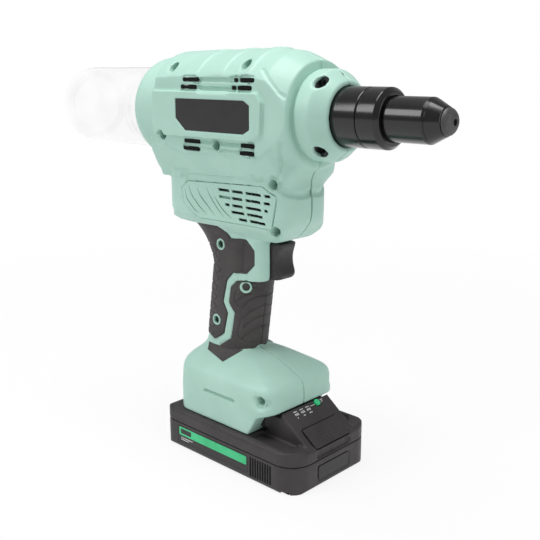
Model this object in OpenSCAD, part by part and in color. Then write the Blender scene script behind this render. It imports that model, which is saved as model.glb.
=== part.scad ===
// Battery rivet tool: pistol-grip body, stepped nose, clear collector and a slide-on battery.
// Millimetres. Origin at the centre of the battery's underside, +X towards the nose, +Z up.

/* [Housing] */
// Height of the pulling axis above the battery's underside
axis_z = 222; // [215:0.5:230]
// Largest radius of the barrel
barrel_r = 38; // [36:0.1:40]
// Half width across the flat sides of the barrel
flat_half = 30.5; // [29:0.1:32]
// Half width across the raised band on the flat sides
band_half = 33; // [32:0.1:35]
// Radius of the rear cap
cap_r = 33; // [32:0.1:34.5]
// Rear face of the rear cap, along X
cap_x = -92; // [-96:0.5:-90]
// Front rim of the barrel, along X
rim_x = 44.7; // [43:0.1:46]
// Thickness of the moulded wall
wall = 2.8; // [2.2:0.1:3.2]
// Half width of the motor housing
motor_half = 23.6; // [23:0.1:26]
// Radius of the collar behind the nose
collar_r = 26; // [25:0.1:27]

/* [Handle] */
// Lean of the handle from the upright, in degrees
handle_lean = 7.9; // [5:0.1:10]
// Half depth of the handle, front to back
handle_deep = 21; // [19.5:0.1:22]
// Half width of the handle
handle_half = 16.5; // [16:0.1:18]
// How far the rubber stands proud of the housing
grip_proud = 0.5; // [0.2:0.1:1]
// Depth of the seat under the rubber
grip_deep = 1.4; // [1:0.1:1.8]

/* [Nose] */
// Radius of the front sleeve and the lock ring
sleeve_r = 16.6; // [16:0.1:17.5]
// Radius of the nose sleeve
nose_r = 12.1; // [11.8:0.1:12.6]
// Front end of the nose sleeve, along X
nose_x = 120.2; // [118:0.1:124]
// Radius of the bore in the nosepiece
mandrel_r = 1.7; // [1.2:0.1:2.4]

/* [Drive] */
// Gear module
gear_m = 1; // [1:0.05:1.05]
// Teeth of the nut gear
nut_teeth = 44; // [44:2:44]
// Teeth of the idler gear
idler_teeth = 22; // [22:2:22]
// Teeth of the motor gear
motor_teeth = 16; // [16:2:16]
// Play between meshing flanks
gear_play = 0.3; // [0.2:0.05:0.4]
// Face width of the gears
gear_w = 10; // [8:0.5:10.5]
// Radius of the screw spindle
spindle_r = 8; // [7.5:0.1:8.2]
// Stroke of the spindle
stroke = 25; // [20:0.5:25]

/* [Collector] */
// Outer radius of the collector
collector_r = 26.6; // [26:0.1:27]
// Wall of the collector
collector_wall = 1.6; // [1.4:0.1:1.8]
// Rear end of the collector, along X
collector_end = -179; // [-190:0.5:-170]

/* [Trigger] */
// Half width of the trigger
trigger_half = 8.6; // [7.5:0.1:9]
// Travel of the trigger
trigger_travel = 6; // [4:0.1:6]

/* [Battery] */
// Length of the battery
pack_l = 118; // [116:0.5:122]
// Half width of the battery
pack_half = 37.5; // [37:0.1:39]
// Height of the parting line
part_z = 17.8; // [17:0.1:18.5]
// Height of the shoulder that the foot slides on
deck_z = 27; // [26.6:0.1:27]
// Radius of one cell
cell_r = 9.1; // [8.8:0.05:9.2]
// Length of one cell
cell_l = 65; // [60:0.5:65.5]
// Travel of the latch button
latch_travel = 2.5; // [1.5:0.1:2.6]
// Travel of the gauge button
gauge_travel = 0.6; // [0.4:0.1:0.8]

/* [Fits] */
// Gap between pieces that move past each other
move_gap = 0.35; // [0.3:0.05:0.5]
// Radial gap of a running fit
run_gap = 0.05; // [0.02:0.01:0.08]
// Gap between pieces that are fastened together
seat_gap = 0.1; // [0.05:0.05:0.15]

/* [Hidden] */
$fn = 64;

idler_z = axis_z - gear_m * (nut_teeth + idler_teeth) / 2;
motor_z = idler_z - gear_m * (idler_teeth + motor_teeth) / 2;
gear_x = 8;
plate_x0 = -6;
plate_x1 = 2;
case_x0 = gear_x + gear_w + 1.5;
case_x1 = case_x0 + 3.9;
nut_r = 14.5;
nut_bore = spindle_r + move_gap;
bearing_r = 20.9;
tube_r = collar_r - wall - 0.4;
sleeve_seat = sleeve_r + seat_gap / 2;
jaw_r = nose_r - 1.9;
nose_bore = jaw_r + move_gap;
stator_r = 16.5;
spindle_bore = 4.6;
rod_y = 18;
rod_r = 2.5;
guide_x0 = -37.6;
guide_x1 = -33.6;
socket_x = -90;
disc_x = -80.8;
spindle_back = -49;
socket_r = collector_r - collector_wall - run_gap - 0.02;
seam = 0.05;
grip_gap = 0.2;
foot_top = 70.5;
foot_z = deck_z + 0.3;
board_z = 43.2;
slope_top = [34.6, 43];
slope_low = [58.2, 25.3];
slope_turn = atan2(slope_top[1] - slope_low[1], slope_low[0] - slope_top[0]);
slope_len = norm(slope_low - slope_top);
block_half = 22;
screw_spots = [[-54, 248.2, 30], [10, 249.6, 30], [-60, 207.4, 31], [-10.7, 203.4, 31], [27.9, 183, 24],
  [27.6, 155.2, 24], [-64.5, 156.8, 20], [-22.6, 139.8, 16], [-27.8, 88.8, 15], [-1.5, 116.5, 17],
  [25.6, 51.4, 31], [56.9, 240.6, 22], [56.9, 203.4, 22]];

function unit2(v) = v / norm(v);
function turn2(p, q) = p[0] * q[1] - p[1] * q[0];

// Polygon with a true arc at each corner; the points run anticlockwise, r holds the radii.
module round2d(p, r) {
  n = len(p);
  a = [for (i = [0:n - 1]) unit2(p[(i + n - 1) % n] - p[i])];
  b = [for (i = [0:n - 1]) unit2(p[(i + 1) % n] - p[i])];
  half = [for (i = [0:n - 1]) acos(max(-1, min(1, a[i] * b[i]))) / 2];
  d = [for (i = [0:n - 1]) r[i] / tan(half[i])];
  mid = [for (i = [0:n - 1]) p[i] + unit2(a[i] + b[i] + [0.0000001, 0]) * r[i] / sin(half[i])];
  pts = [for (i = [0:n - 1]) for (k = r[i] > 0 ? [0, 1] : [0]) p[i] + (k == 0 ? a[i] : b[i]) * d[i]];
  difference() {
    union() {
      polygon(pts);
      for (i = [0:n - 1])
        if (r[i] > 0 && turn2(b[i], a[i]) > 0)
          translate(mid[i]) circle(r = r[i]);
    }
    for (i = [0:n - 1])
      if (r[i] > 0 && turn2(b[i], a[i]) < 0)
        translate(mid[i]) circle(r = r[i]);
  }
}

module slab_x(x0, x1) {
  translate([x0, 0, 0]) rotate([90, 0, 90]) linear_extrude(height = x1 - x0) children();
}

module slab_y(y0, y1) {
  translate([0, y1, 0]) rotate([90, 0, 0]) linear_extrude(height = y1 - y0) children();
}

module slab_z(z0, z1) {
  translate([0, 0, z0]) linear_extrude(height = z1 - z0) children();
}

module rod_x(x0, x1, r, z = axis_z, y = 0) {
  translate([x0, y, z]) rotate([0, 90, 0]) cylinder(h = x1 - x0, r = r);
}

module pipe_x(x0, x1, r, bore, z = axis_z, y = 0) {
  difference() {
    rod_x(x0, x1, r, z, y);
    rod_x(x0 - 1, x1 + 1, bore, z, y);
  }
}

module rod_y(x, z, y0, y1, r) {
  translate([x, y1, z]) rotate([90, 0, 0]) cylinder(h = y1 - y0, r = r);
}

module turned_x(z = axis_z) {
  translate([0, 0, z]) rotate([0, 90, 0]) rotate([0, 0, 90]) rotate_extrude() children();
}

module box(x0, x1, y0, y1, z0, z1) {
  translate([x0, y0, z0]) cube([x1 - x0, y1 - y0, z1 - z0]);
}

// Outer forms of the housing; i moves every face inwards.
module barrel_form(i) {
  intersection() {
    turned_x()
      round2d([[0, cap_x + i], [cap_r - i, cap_x + i], [cap_r - i, -67.4], [barrel_r - 1.3 - i, -65.6],
        [barrel_r - 0.4 - i, -27.8], [barrel_r - 1.2 - i, -27.2], [barrel_r - i, -5.3],
        [barrel_r - 0.8 - i, -4.7], [barrel_r + 0.3 - i, 16.7], [barrel_r - 0.6 - i, 17.3],
        [barrel_r - 1.9 - i, 30], [barrel_r - 7.4 - i, rim_x - i], [0, rim_x - i]],
        [0, max(11 - i, 1), 0, 0.8, 0, 0, 0, 0, 0, 0, 9, 1, 0]);
    union() {
      box(cap_x - 5, rim_x + 5, -flat_half + i, flat_half - i, axis_z - 60, axis_z + 60);
      slab_y(-band_half + i, band_half - i) band_outline(i);
    }
  }
}

module band_outline(i) {
  polygon([[cap_x - 5, axis_z - 14.5 + i], [21.5 - i, axis_z - 14.5 + i], [27.4 - i, axis_z - 11],
    [28.3 - i, axis_z + 7.4], [24.3 - i, axis_z + 12.6 - i], [cap_x - 5, axis_z + 12.6 - i]]);
}

module neck_form(i) {
  intersection() {
    slab_x(-90, 60)
      polygon([[-21.8 + i, 180], [21.8 - i, 180], [21.8 - i, 184.5], [flat_half - 0.9 - i, 199],
        [flat_half - 2 - i, 211], [-flat_half + 2 + i, 211], [-flat_half + 0.9 + i, 199],
        [-21.8 + i, 184.5]]);
    slab_y(-40, 40)
      round2d([[-72 + i, 180], [31 - i, 180], [35.4 - i, 184], [43.2 - i, 195], [42.2 - i, 211],
        [-74 + i, 211], [-75.4 + i, 186]], [0, 0, 3, 0, 0, 0, 3]);
    slab_z(160, 230)
      round2d([[-77 + i, -31 + i], [29 - i, -31 + i], [45 - i, -14], [45 - i, 14], [29 - i, 31 - i],
        [-77 + i, 31 - i]], [max(9 - i, 1), 10, 8, 8, 10, max(9 - i, 1)]);
  }
}

module motor_form(i) {
  intersection() {
    slab_z(140 + i, 190)
      round2d([[-71 + i, -motor_half + i], [29 - i, -motor_half + i], [35.4 - i, -11], [35.4 - i, 11],
        [29 - i, motor_half - i], [-71 + i, motor_half - i]], [15 - i, 12 - i, 14, 14, 12 - i, 15 - i]);
    slab_y(-40, 40)
      round2d([[-71 + i, 190], [-71 + i, 160 + i], [-52, 149.4 + i], [6, 146.4 + i], [26 - i, 146.4 + i],
        [35.6 - i, 160 + i], [35.6 - i, 190]], [0, 8, 10, 0, 9, 9, 0]);
    slab_x(-90, 60)
      round2d([[-15 + i, 146 + i], [15 - i, 146 + i], [motor_half - i, 156 + i], [motor_half - i, 187.4 - i],
        [-motor_half + i, 187.4 - i], [-motor_half + i, 156 + i]], [5, 5, 9, 3.4, 3.4, 9]);
  }
}

module oval2d(deep, half) {
  union() {
    square([2 * (deep - half), 2 * half], center = true);
    translate([deep - half, 0]) rotate([0, 0, 180]) circle(r = half);
    translate([half - deep, 0]) circle(r = half);
  }
}

module handle_form(i) {
  translate([-21.7, 0, 100]) rotate([0, handle_lean, 0]) translate([0, 0, -44])
    linear_extrude(height = 106) oval2d(handle_deep - i, handle_half - i);
}

module flare_form(i) {
  intersection() {
    translate([-71, 0, 118]) rotate([90, 0, 0]) rotate_extrude(angle = 88)
      translate([33 + handle_deep, 0]) oval2d(handle_deep - i, handle_half + 0.15 - i);
    box(-66.4, 10, -30, 30, 100, 153);
  }
}

module frame_form(i) {
  intersection() {
    slab_z(118.6 + i, 156)
      round2d([[-24, -15.6 + i], [13.4 - i, -15.6 + i], [13.4 - i, 15.6 - i], [-24, 15.6 - i]], [0, 7, 7, 0]);
    slab_y(-30, 30)
      round2d([[-24, 118.6 + i], [13.4 - i, 118.6 + i], [13.4 - i, 156], [-24, 156]], [0, 6, 0, 0]);
  }
}

module foot_form(i) {
  intersection() {
    slab_z(20, 80)
      round2d([[-51 + i, -34 + i], [34 - i, -34 + i], [34 - i, 34 - i], [-51 + i, 34 - i]],
        [12 - i, 13 - i, 13 - i, 12 - i]);
    slab_y(-40, 40)
      round2d([[-51 + i, i > 0 ? board_z : foot_z], [16.9, i > 0 ? board_z : foot_z],
        [24.6, i > 0 ? board_z : 40.5], [34 - i, i > 0 ? board_z + 2 : 43], [34 - i, 58.5 - i],
        [4, foot_top - i], [-42, foot_top - i], [-51 + i, 62 - i]], [0, 0, i > 0 ? 0 : 3, 0, 7, 8, 10, 10]);
    slab_x(-60, 60)
      round2d([[-34 + i, 20], [34 - i, 20], [34 - i, 57.5 - i], [15, foot_top - i], [-15, foot_top - i],
        [-34 + i, 57.5 - i]], [0, 0, 9, 4, 4, 9]);
  }
}

module body_form(i) {
  barrel_form(i);
  neck_form(i);
  motor_form(i);
  flare_form(i);
  frame_form(i);
  handle_form(i);
  foot_form(i);
}

module collar_form() {
  turned_x()
    round2d([[0, rim_x - 6], [collar_r - 1.6, rim_x - 6], [collar_r - 1.6, rim_x + 1.5], [collar_r, rim_x + 2],
      [collar_r, 56.5], [19.2, 65], [0, 65]], [0, 0, 0, 1.2, 5, 1, 0]);
}

// Slots in the sides: the upper and lower barrel rows and the motor rows.
module vent_slots() {
  for (row = [[axis_z + 18.3, 0], [axis_z + 13.9, -2], [axis_z - 18.4, 0], [axis_z - 22.7, -1]])
    for (s = [[-39.4, -25], [5.6, 8.6], [10.4, 21.4]])
      if (row[0] > axis_z || s[0] != 5.6)
        box(s[0] + row[1], s[1] + row[1], -60, 60, row[0], row[0] + 2.4);
  for (k = [0:4])
    for (s = [[-13.5, -6.4], [-4.8, 4.6], [6.6, [10.6, 10.6, 10.2, 7.6, 7.6][k]]])
      if (k < 3 || s[0] < 6)
        translate([k < 3 ? 0 : (k - 2) * 2.4, 0, motor_z + 8.4 - k * 4.5]) rotate([0, -2.6, 0])
          box(s[0] + (k == 4 && s[0] < -10 ? 2.5 : 0), s[1], -60, 60, 0, 2);
}

// Shallow sunk fields on the outside: barrel strips, motor panel, plate seats.
module sunk_fields(s) {
  for (z = [axis_z + 13.9, axis_z + 18.3])
    box(-25, 5, s > 0 ? flat_half - 0.7 : -60, s > 0 ? 60 : -flat_half + 0.7, z, z + 2.4);
  slab_y(s > 0 ? motor_half - 0.8 : -60, s > 0 ? 60 : -motor_half + 0.8)
    polygon([[-52, motor_z - 4], [-46, motor_z + 12.4], [14, motor_z + 15], [20.5, motor_z + 10],
      [18, motor_z - 13], [-20, motor_z - 13.5]]);
  slab_y(s > 0 ? band_half - 1.2 : -60, s > 0 ? 60 : -band_half + 1.2) plate_outline(0);
  box(-21.5, 4.6, s > 0 ? 33.2 : -60, s > 0 ? 60 : -33.2, 45.7, 47);
}

module plate_outline(i) {
  polygon([[-44.6 + i, axis_z - 3.6], [-36 + i, axis_z - 10.8 + i], [14.5 - i, axis_z - 10.8 + i],
    [19.7 - i, axis_z - 7.9], [19.7 - i, axis_z + 5.6], [14.8 - i, axis_z + 8.5 - i],
    [-44.6 + i, axis_z + 8.5 - i]]);
}

// Side outlines of the rubber, seen along Y.
module rear_grip_outline(i) {
  polygon([[-71, 152.8 - i], [-58, 146], [-47, 134], [-50, 118], [-60, 82], [-44, 78 + i], [-30, 74.8 + i],
    [-21.4 - i, 80.4], [-17.6 - i, 95.2], [-21.6 - i, 102], [-17.8 - i, 117], [-11.4, 123.6 + i],
    [-1.4, 124 + i], [5.7 - i, 129.8], [5.7 - i, 139.6], [-1.2, 145.6 - i], [-13.6, 144.8 - i],
    [-22, 151.9 - i], [-45, 151.6 - i]]);
}

module front_grip_outline(i) {
  polygon([[-25.4 + i, 71.9], [-25.4 + i, 60], [-5, 60], [-5, 72.8 + i], [2, 73.8 + i], [12, 76.4 + i],
    [12, 120.5 - i], [-9.4, 118 - i], [-14.4 + i, 113.2], [-16.4 + i, 102.8], [-12 + i, 96.4],
    [-15.6 + i, 78.2]]);
}

module grip_core(i) {
  handle_form(i);
  flare_form(i);
}

module screw_cuts(s) {
  for (p = screw_spots) {
    if (s < 0) {
      rod_y(p[0], p[1], -60, -9.4, 3.1);
      rod_y(p[0], p[1], -12, 1, 1.7);
    } else {
      rod_y(p[0], p[1], -1, 13, 1.35);
    }
  }
}

// Screw bosses, each kept inside the form that carries it.
module bosses() {
  for (k = [0:len(screw_spots) - 1])
    intersection() {
      rod_y(screw_spots[k][0], screw_spots[k][1], -40, 40, 4.3);
      if (k < 4)
        barrel_form(0.9);
      else if (k == 4)
        neck_form(0.9);
      else if (k < 7)
        motor_form(0.9);
      else if (k < 10)
        handle_form(0.9);
      else if (k == 10)
        foot_form(0.9);
      else
        collar_form();
    }
}

// Cross walls that carry the motor, the switch and the wiring.
module ribs() {
  for (x = [-62, -51, -31])
    intersection() {
      box(x, x + 2.4, -40, 40, 140, 188);
      motor_form(0.9);
    }
  intersection() {
    box(-20.2, -17.8, -40, 40, 116, 144);
    handle_form(0.9);
  }
  for (z = [78, 113])
    intersection() {
      box(-60, 20, -40, 40, z, z + 2.4);
      handle_form(0.9);
    }
}

module drive_room() {
  rod_x(-58.5, -20, stator_r + seat_gap, motor_z);
  rod_x(-64, -59, 8 + seat_gap, motor_z);
  box(-17.8, 14, -9.4, 9.4, 116, 146);
  box(-23, 6, -11.6, 11.6, 60, 120);
  rod_x(-58.5, -30, 15, motor_z);
}

module battery_way() {
  box(-50, 60, -24, 24, foot_z + 3.2, 40.6);
  box(-50, 60, -19.2, 19.2, 20, 40.6);
}

module shell_blank(s) {
  intersection() {
    union() {
      difference() {
        body_form(0);
        body_form(wall);
      }
      collar_form();
      difference() {
        union() {
          bosses();
          ribs();
        }
        drive_room();
      }
    }
    if (s > 0)
      box(-200, 200, seam, 80, 0, 300);
    else
      box(-200, 200, -80, -seam, 0, 300);
  }
}

module round_cuts() {
  rod_x(cap_x - 5, -80, collector_r + 0.4);
  rod_x(30, 60, tube_r + 0.2);
  rod_x(59, 70, sleeve_r + 0.2);
}

module way_cuts() {
  box(5.2, 30, -trigger_half - move_gap, trigger_half + move_gap, 120.4, 144.6);
  box(-17.8, 5.4, -9.6, 9.6, 121.4, 145.8);
  battery_way();
}

module grip_seats() {
  difference() {
    slab_y(-60, 60) rear_grip_outline(0);
    grip_core(grip_deep);
    frame_form(grip_deep);
  }
  difference() {
    slab_y(-60, 60) front_grip_outline(0);
    handle_form(grip_deep);
    box(-80, 40, -70, 70, 40, foot_top);
    frame_form(grip_deep);
  }
}

module shell(s) {
  difference() {
    shell_blank(s);
    round_cuts();
    way_cuts();
    vent_slots();
    sunk_fields(s);
    screw_cuts(s);
    grip_seats();
  }
}

module housing_right() {
  color([0.66, 0.83, 0.77]) shell(-1);
}

module housing_left() {
  color([0.66, 0.83, 0.77]) shell(1);
}

module grip(s) {
  difference() {
    union() {
      intersection() {
        handle_form(-grip_proud);
        slab_y(s > 0 ? seam : -60, s > 0 ? 60 : -seam) front_grip_outline(grip_gap);
      }
      intersection() {
        union() {
          handle_form(-grip_proud);
          flare_form(-grip_proud);
        }
        slab_y(s > 0 ? seam : -60, s > 0 ? 60 : -seam) rear_grip_outline(grip_gap);
      }
    }
    grip_core(grip_deep - grip_gap);
    frame_form(grip_deep - grip_gap);
    box(-80, 40, -70, 70, 40, foot_top + grip_gap);
    for (k = [7:9])
      rod_y(screw_spots[k][0], screw_spots[k][1], -60, s > 0 ? 9 : 0, s > 0 ? 1.7 : 3.7);
  }
}

module grip_right() {
  color([0.29, 0.28, 0.28]) grip(-1);
}

module grip_left() {
  color([0.29, 0.28, 0.28]) grip(1);
}

module housing_screws() {
  color([0.2, 0.2, 0.21])
    for (p = screw_spots) {
      difference() {
        rod_y(p[0], p[1], -11.6, -9.5, 2.9);
        rod_y(p[0], p[1], -12, -10.4, 1.1);
      }
      rod_y(p[0], p[1], -9.5, 8, 1.3);
    }
}

module side_plate(s) {
  slab_y(s > 0 ? band_half - 1.15 : -band_half + 0.25, s > 0 ? band_half - 0.25 : -band_half + 1.15)
    plate_outline(0.2);
}

module side_plate_right() {
  color([0.17, 0.17, 0.18]) side_plate(-1);
}

module side_plate_left() {
  color([0.17, 0.17, 0.18]) side_plate(1);
}

module front_sleeve() {
  color([0.05, 0.05, 0.055])
    turned_x()
      polygon([[13, 44], [sleeve_r, 44], [sleeve_r, 80.8], [sleeve_r - 0.4, 81.2], [13, 81.2]]);
}

module lock_ring() {
  color([0.05, 0.05, 0.055])
    turned_x()
      polygon([[13.1, 81.5], [sleeve_r - 0.4, 81.5], [sleeve_r, 81.9], [sleeve_r, 93.2], [sleeve_r - 2.3, 95.6],
        [nose_r + 0.1, 95.6], [nose_r + 0.1, 93.4], [13.1, 93.4]]);
}

module nose_sleeve() {
  color([0.06, 0.06, 0.065])
    turned_x()
      polygon([[nose_bore, 70], [12.9, 70], [12.9, 93.2], [nose_r, 93.2], [nose_r, nose_x - 1],
        [nose_r - 0.5, nose_x - 0.4], [nose_r - 0.5, nose_x], [nose_bore, nose_x]]);
}

module nose_cone() {
  color([0.08, 0.08, 0.085])
    turned_x()
      polygon([[5.1, nose_x + 0.1], [nose_r - 0.5, nose_x + 0.1], [nose_r - 0.9, nose_x + 0.8],
        [7.9, nose_x + 7.1], [7.5, nose_x + 7.4], [5.1, nose_x + 7.4]]);
}

module nosepiece() {
  color([0.16, 0.16, 0.17])
    difference() {
      turned_x()
        polygon([[0, nose_x + 0.4], [5, nose_x + 0.4], [5, nose_x + 7.5], [7.3, nose_x + 7.5], [7.25, nose_x + 8.2],
          [6.95, nose_x + 9], [6.4, nose_x + 9.8], [5.6, nose_x + 10.6], [4.7, nose_x + 11.2],
          [3.7, nose_x + 11.65], [2.7, nose_x + 11.9], [0, nose_x + 11.9]]);
      rod_x(nose_x - 1, nose_x + 20, mandrel_r);
    }
}

module plate_2d(half, low) {
  union() {
    intersection() {
      translate([0, axis_z]) circle(r = 31.6);
      translate([-half, axis_z - 40]) square([2 * half, 80]);
    }
    polygon([[-16, low + 4], [-12, low], [12, low], [16, low + 4], [18.5, 186], [half - 1, 199], [-half + 1, 199],
      [-18.5, 186]]);
  }
}

module gear_case() {
  color([0.62, 0.63, 0.65])
    difference() {
      union() {
        slab_x(case_x0, case_x1) plate_2d(26.6, 158);
        rod_x(case_x0, 58.6, tube_r);
      }
      rod_x(case_x0 - 1, 35.2, bearing_r + seat_gap / 2);
      rod_x(case_x0 - 1, 70, sleeve_seat);
      rod_x(case_x0 - 1, case_x1 + 1, 7.05, motor_z);
      rod_x(case_x0 - 1, case_x1 + 1, 3, idler_z);
      for (y = [-23, 23])
        for (z = [axis_z - 17, axis_z + 17])
          rod_x(case_x0 - 1, case_x1 + 1, 1.6, z, y);
      for (z = [axis_z - 18.6, axis_z + 18.6])
        rod_y(56.9, z, -30, 30, 4.8);
    }
}

module gear_plate() {
  color([0.62, 0.63, 0.65])
    difference() {
      slab_x(plate_x0, plate_x1) plate_2d(26.6, 151.4);
      rod_x(plate_x0 - 1, plate_x1 + 1, bearing_r + seat_gap / 2);
      rod_x(plate_x0 - 1, plate_x1 + 1, 16 + seat_gap / 2, motor_z);
      rod_x(plate_x0 - 1, plate_x1 + 1, 3, idler_z);
      for (y = [-23, 23])
        for (z = [axis_z - 17, axis_z + 17])
          rod_x(plate_x0 - 1, plate_x1 + 1, 1.6, z, y);
    }
}

module gear_pillars() {
  color([0.7, 0.7, 0.72])
    for (y = [-23, 23])
      for (z = [axis_z - 17, axis_z + 17]) {
        rod_x(plate_x1 + seat_gap / 2, case_x0 - seat_gap / 2, 3, z, y);
        rod_x(plate_x0 + 1, plate_x1 + seat_gap / 2, 1.55, z, y);
        rod_x(case_x0 - seat_gap / 2, case_x1 - 0.5, 1.55, z, y);
      }
}

module ball_ring(x0, x1, bore, r) {
  turned_x()
    difference() {
      translate([bore, x0]) square([r - bore, x1 - x0]);
      translate([bore + (r - bore) * 0.3, x0 - 1]) square([(r - bore) * 0.4, 1.6]);
      translate([bore + (r - bore) * 0.3, x1 - 0.6]) square([(r - bore) * 0.4, 1.6]);
    }
}

module rear_bearing() {
  color([0.75, 0.75, 0.77]) ball_ring(plate_x0, plate_x1, nut_r + run_gap, bearing_r);
}

module front_bearing() {
  color([0.75, 0.75, 0.77]) ball_ring(27.6, 35, nut_r + run_gap, bearing_r);
}

module thrust_bearing() {
  color([0.72, 0.72, 0.75]) {
    ball_ring(21.2, 23.2, nut_r + 0.5, bearing_r);
    for (k = [0:11])
      translate([24.2, 0, axis_z]) rotate([k * 30, 0, 0]) translate([0, 0, 15.8]) cylinder(h = 4.4, r = 0.95);
    ball_ring(25.2, 27.4, nut_r + 0.5, bearing_r);
  }
}

module nut() {
  color([0.55, 0.56, 0.58])
    turned_x()
      polygon([[nut_bore, -8], [nut_r, -8], [nut_r, gear_x + gear_w + 0.1], [18.4, gear_x + gear_w + 0.1],
        [18.4, 20.8], [nut_r, 20.8], [nut_r, 36], [nut_bore, 36]]);
}

// Involute tooth flanks, thinned by the play.
function inv_pt(rb, t) = [rb * (cos(t) + t * PI / 180 * sin(t)), rb * (sin(t) - t * PI / 180 * cos(t))];
function spin2(p, a) = [p[0] * cos(a) - p[1] * sin(a), p[0] * sin(a) + p[1] * cos(a)];

module gear2d(teeth, bore) {
  rp = gear_m * teeth / 2;
  rb = rp * cos(20);
  ra = rp + gear_m * 0.92;
  rf = rp - gear_m * 1.25;
  t0 = rf > rb ? sqrt(pow(rf / rb, 2) - 1) * 180 / PI : 0;
  t1 = sqrt(pow(ra / rb, 2) - 1) * 180 / PI;
  tp = tan(20) * 180 / PI;
  half = 90 / teeth + tp - 20 - gear_play / 2 / rp * 180 / PI;
  flank = [for (k = [0:4]) spin2(inv_pt(rb, t0 + (t1 - t0) * k / 4), -half)];
  tooth = concat([rf * [cos(half + 0.6), -sin(half + 0.6)]], flank,
    [for (k = [4:-1:0]) [flank[k][0], -flank[k][1]]], [rf * [cos(half + 0.6), sin(half + 0.6)]]);
  difference() {
    polygon([for (n = [0:teeth - 1]) for (p = tooth) spin2(p, n * 360 / teeth)]);
    circle(r = bore);
  }
}

module gear_at(teeth, z, bore, spin) {
  translate([gear_x, 0, z]) rotate([0, 90, 0]) rotate([0, 0, spin])
    linear_extrude(height = gear_w) gear2d(teeth, bore);
}

module nut_gear() {
  color([0.6, 0.6, 0.62]) gear_at(nut_teeth, axis_z, nut_r + 0.02, 0);
}

module idler_gear() {
  color([0.6, 0.6, 0.62]) gear_at(idler_teeth, idler_z, 3 + run_gap, 180 / idler_teeth);
}

module idler_pin() {
  color([0.7, 0.7, 0.72]) {
    rod_x(plate_x0, case_x1, 2.98, idler_z);
  }
}

module motor_gear() {
  color([0.6, 0.6, 0.62]) {
    gear_at(motor_teeth, motor_z, 3.9, 0);
    rod_x(4.5, case_x1 - 0.3, 3.88, motor_z);
  }
}

module gearbox_can() {
  color([0.5, 0.51, 0.53])
    turned_x(motor_z)
      polygon([[3.9 + run_gap + 0.3, -20], [16, -20], [16, 4], [5, 4], [5, 1], [14, 1], [14, -17],
        [3.9 + run_gap + 0.3, -17]]);
}

module shaft_bearing() {
  color([0.75, 0.75, 0.77])
    pipe_x(case_x0 + 0.1, case_x1 - 0.1, 7, 3.88 + run_gap, motor_z);
}

module stator() {
  color([0.42, 0.42, 0.44])
    slab_x(-52, -26)
      translate([0, motor_z]) difference() {
        circle(r = stator_r);
        circle(r = 13.6);
      }
}

module windings() {
  color([0.72, 0.42, 0.2])
    for (k = [0:5])
      translate([0, 0, motor_z]) rotate([k * 60, 0, 0])
        box(-55, -23, -2.6, 2.6, 9.4, 13.3);
}

module rotor() {
  color([0.36, 0.36, 0.38]) {
    rod_x(-51, -27, 8.6, motor_z);
    rod_x(-63, -51, 2.5, motor_z);
    rod_x(-27, -17.5, 2.5, motor_z);
  }
}

module fan() {
  color([0.15, 0.15, 0.16])
    difference() {
      union() {
        rod_x(-59, -57.4, 12.8, motor_z);
        rod_x(-59, -55.6, 4.5, motor_z);
        for (k = [0:8])
          translate([0, 0, motor_z]) rotate([k * 40, 0, 0]) box(-57.4, -55.6, -0.6, 0.6, 4, 12.6);
      }
      rod_x(-64, -50, 2.52, motor_z);
    }
}

module motor_bearing() {
  color([0.75, 0.75, 0.77]) {
    pipe_x(-62.6, -59.5, 8, 2.5 + run_gap, motor_z);
    pipe_x(-22.8, -20.2, 8, 2.5 + run_gap, motor_z);
  }
}

module spindle() {
  color([0.66, 0.66, 0.68])
    turned_x()
      polygon([[spindle_bore, spindle_back], [spindle_r, spindle_back], [spindle_r, 90], [6.6, 90], [6.6, 98], [spindle_bore, 98]]);
}

module guide_yoke() {
  color([0.5, 0.5, 0.53])
    difference() {
      union() {
        rod_x(spindle_back + 1, spindle_back + 8, 9.9);
        box(spindle_back + 2, spindle_back + 7, -rod_y - 5, rod_y + 5, axis_z - 4.6, axis_z + 4.6);
      }
      rod_x(spindle_back, spindle_back + 9, spindle_r + 0.02);
      for (y = [-rod_y, rod_y])
        rod_x(spindle_back, spindle_back + 9, rod_r + run_gap, axis_z, y);
    }
}

module guide_rods() {
  color([0.78, 0.78, 0.8])
    for (y = [-rod_y, rod_y])
      rod_x(disc_x + 1, guide_x1 - 0.5, rod_r, axis_z, y);
}

module guide_plate() {
  color([0.45, 0.46, 0.48])
    difference() {
      intersection() {
        barrel_form(wall + 0.15);
        box(guide_x0, guide_x1, -40, 40, axis_z - 24, axis_z + 24);
      }
      rod_x(guide_x0 - 1, guide_x1 + 1, spindle_r + 0.6);
      for (y = [-rod_y, rod_y])
        rod_x(guide_x0 - 1, guide_x1 + 1, rod_r + 0.02, axis_z, y);
    }
}

module jaw_case() {
  color([0.5, 0.5, 0.52])
    turned_x()
      polygon([[6.62, 90.2], [jaw_r, 90.2], [jaw_r, 118], [jaw_r - 1.5, 119.6], [3.6, 119.6], [7.2, 106], [7.2, 98.4],
        [6.62, 98.4]]);
}

module jaws() {
  color([0.35, 0.35, 0.37])
    difference() {
      turned_x()
        polygon([[1.2, 106.4], [7, 106.4], [3.5, 119.2], [1.2, 119.2]]);
      for (k = [0:2])
        translate([0, 0, axis_z]) rotate([k * 120, 0, 0]) box(100, 125, -0.35, 0.35, 0, 12);
    }
}

module jaw_pusher() {
  color([0.55, 0.55, 0.57])
    turned_x()
      polygon([[2.4, 101.6], [6.9, 101.6], [6.9, 103.4], [6.2, 106.3], [2.4, 106.3]]);
}

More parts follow.
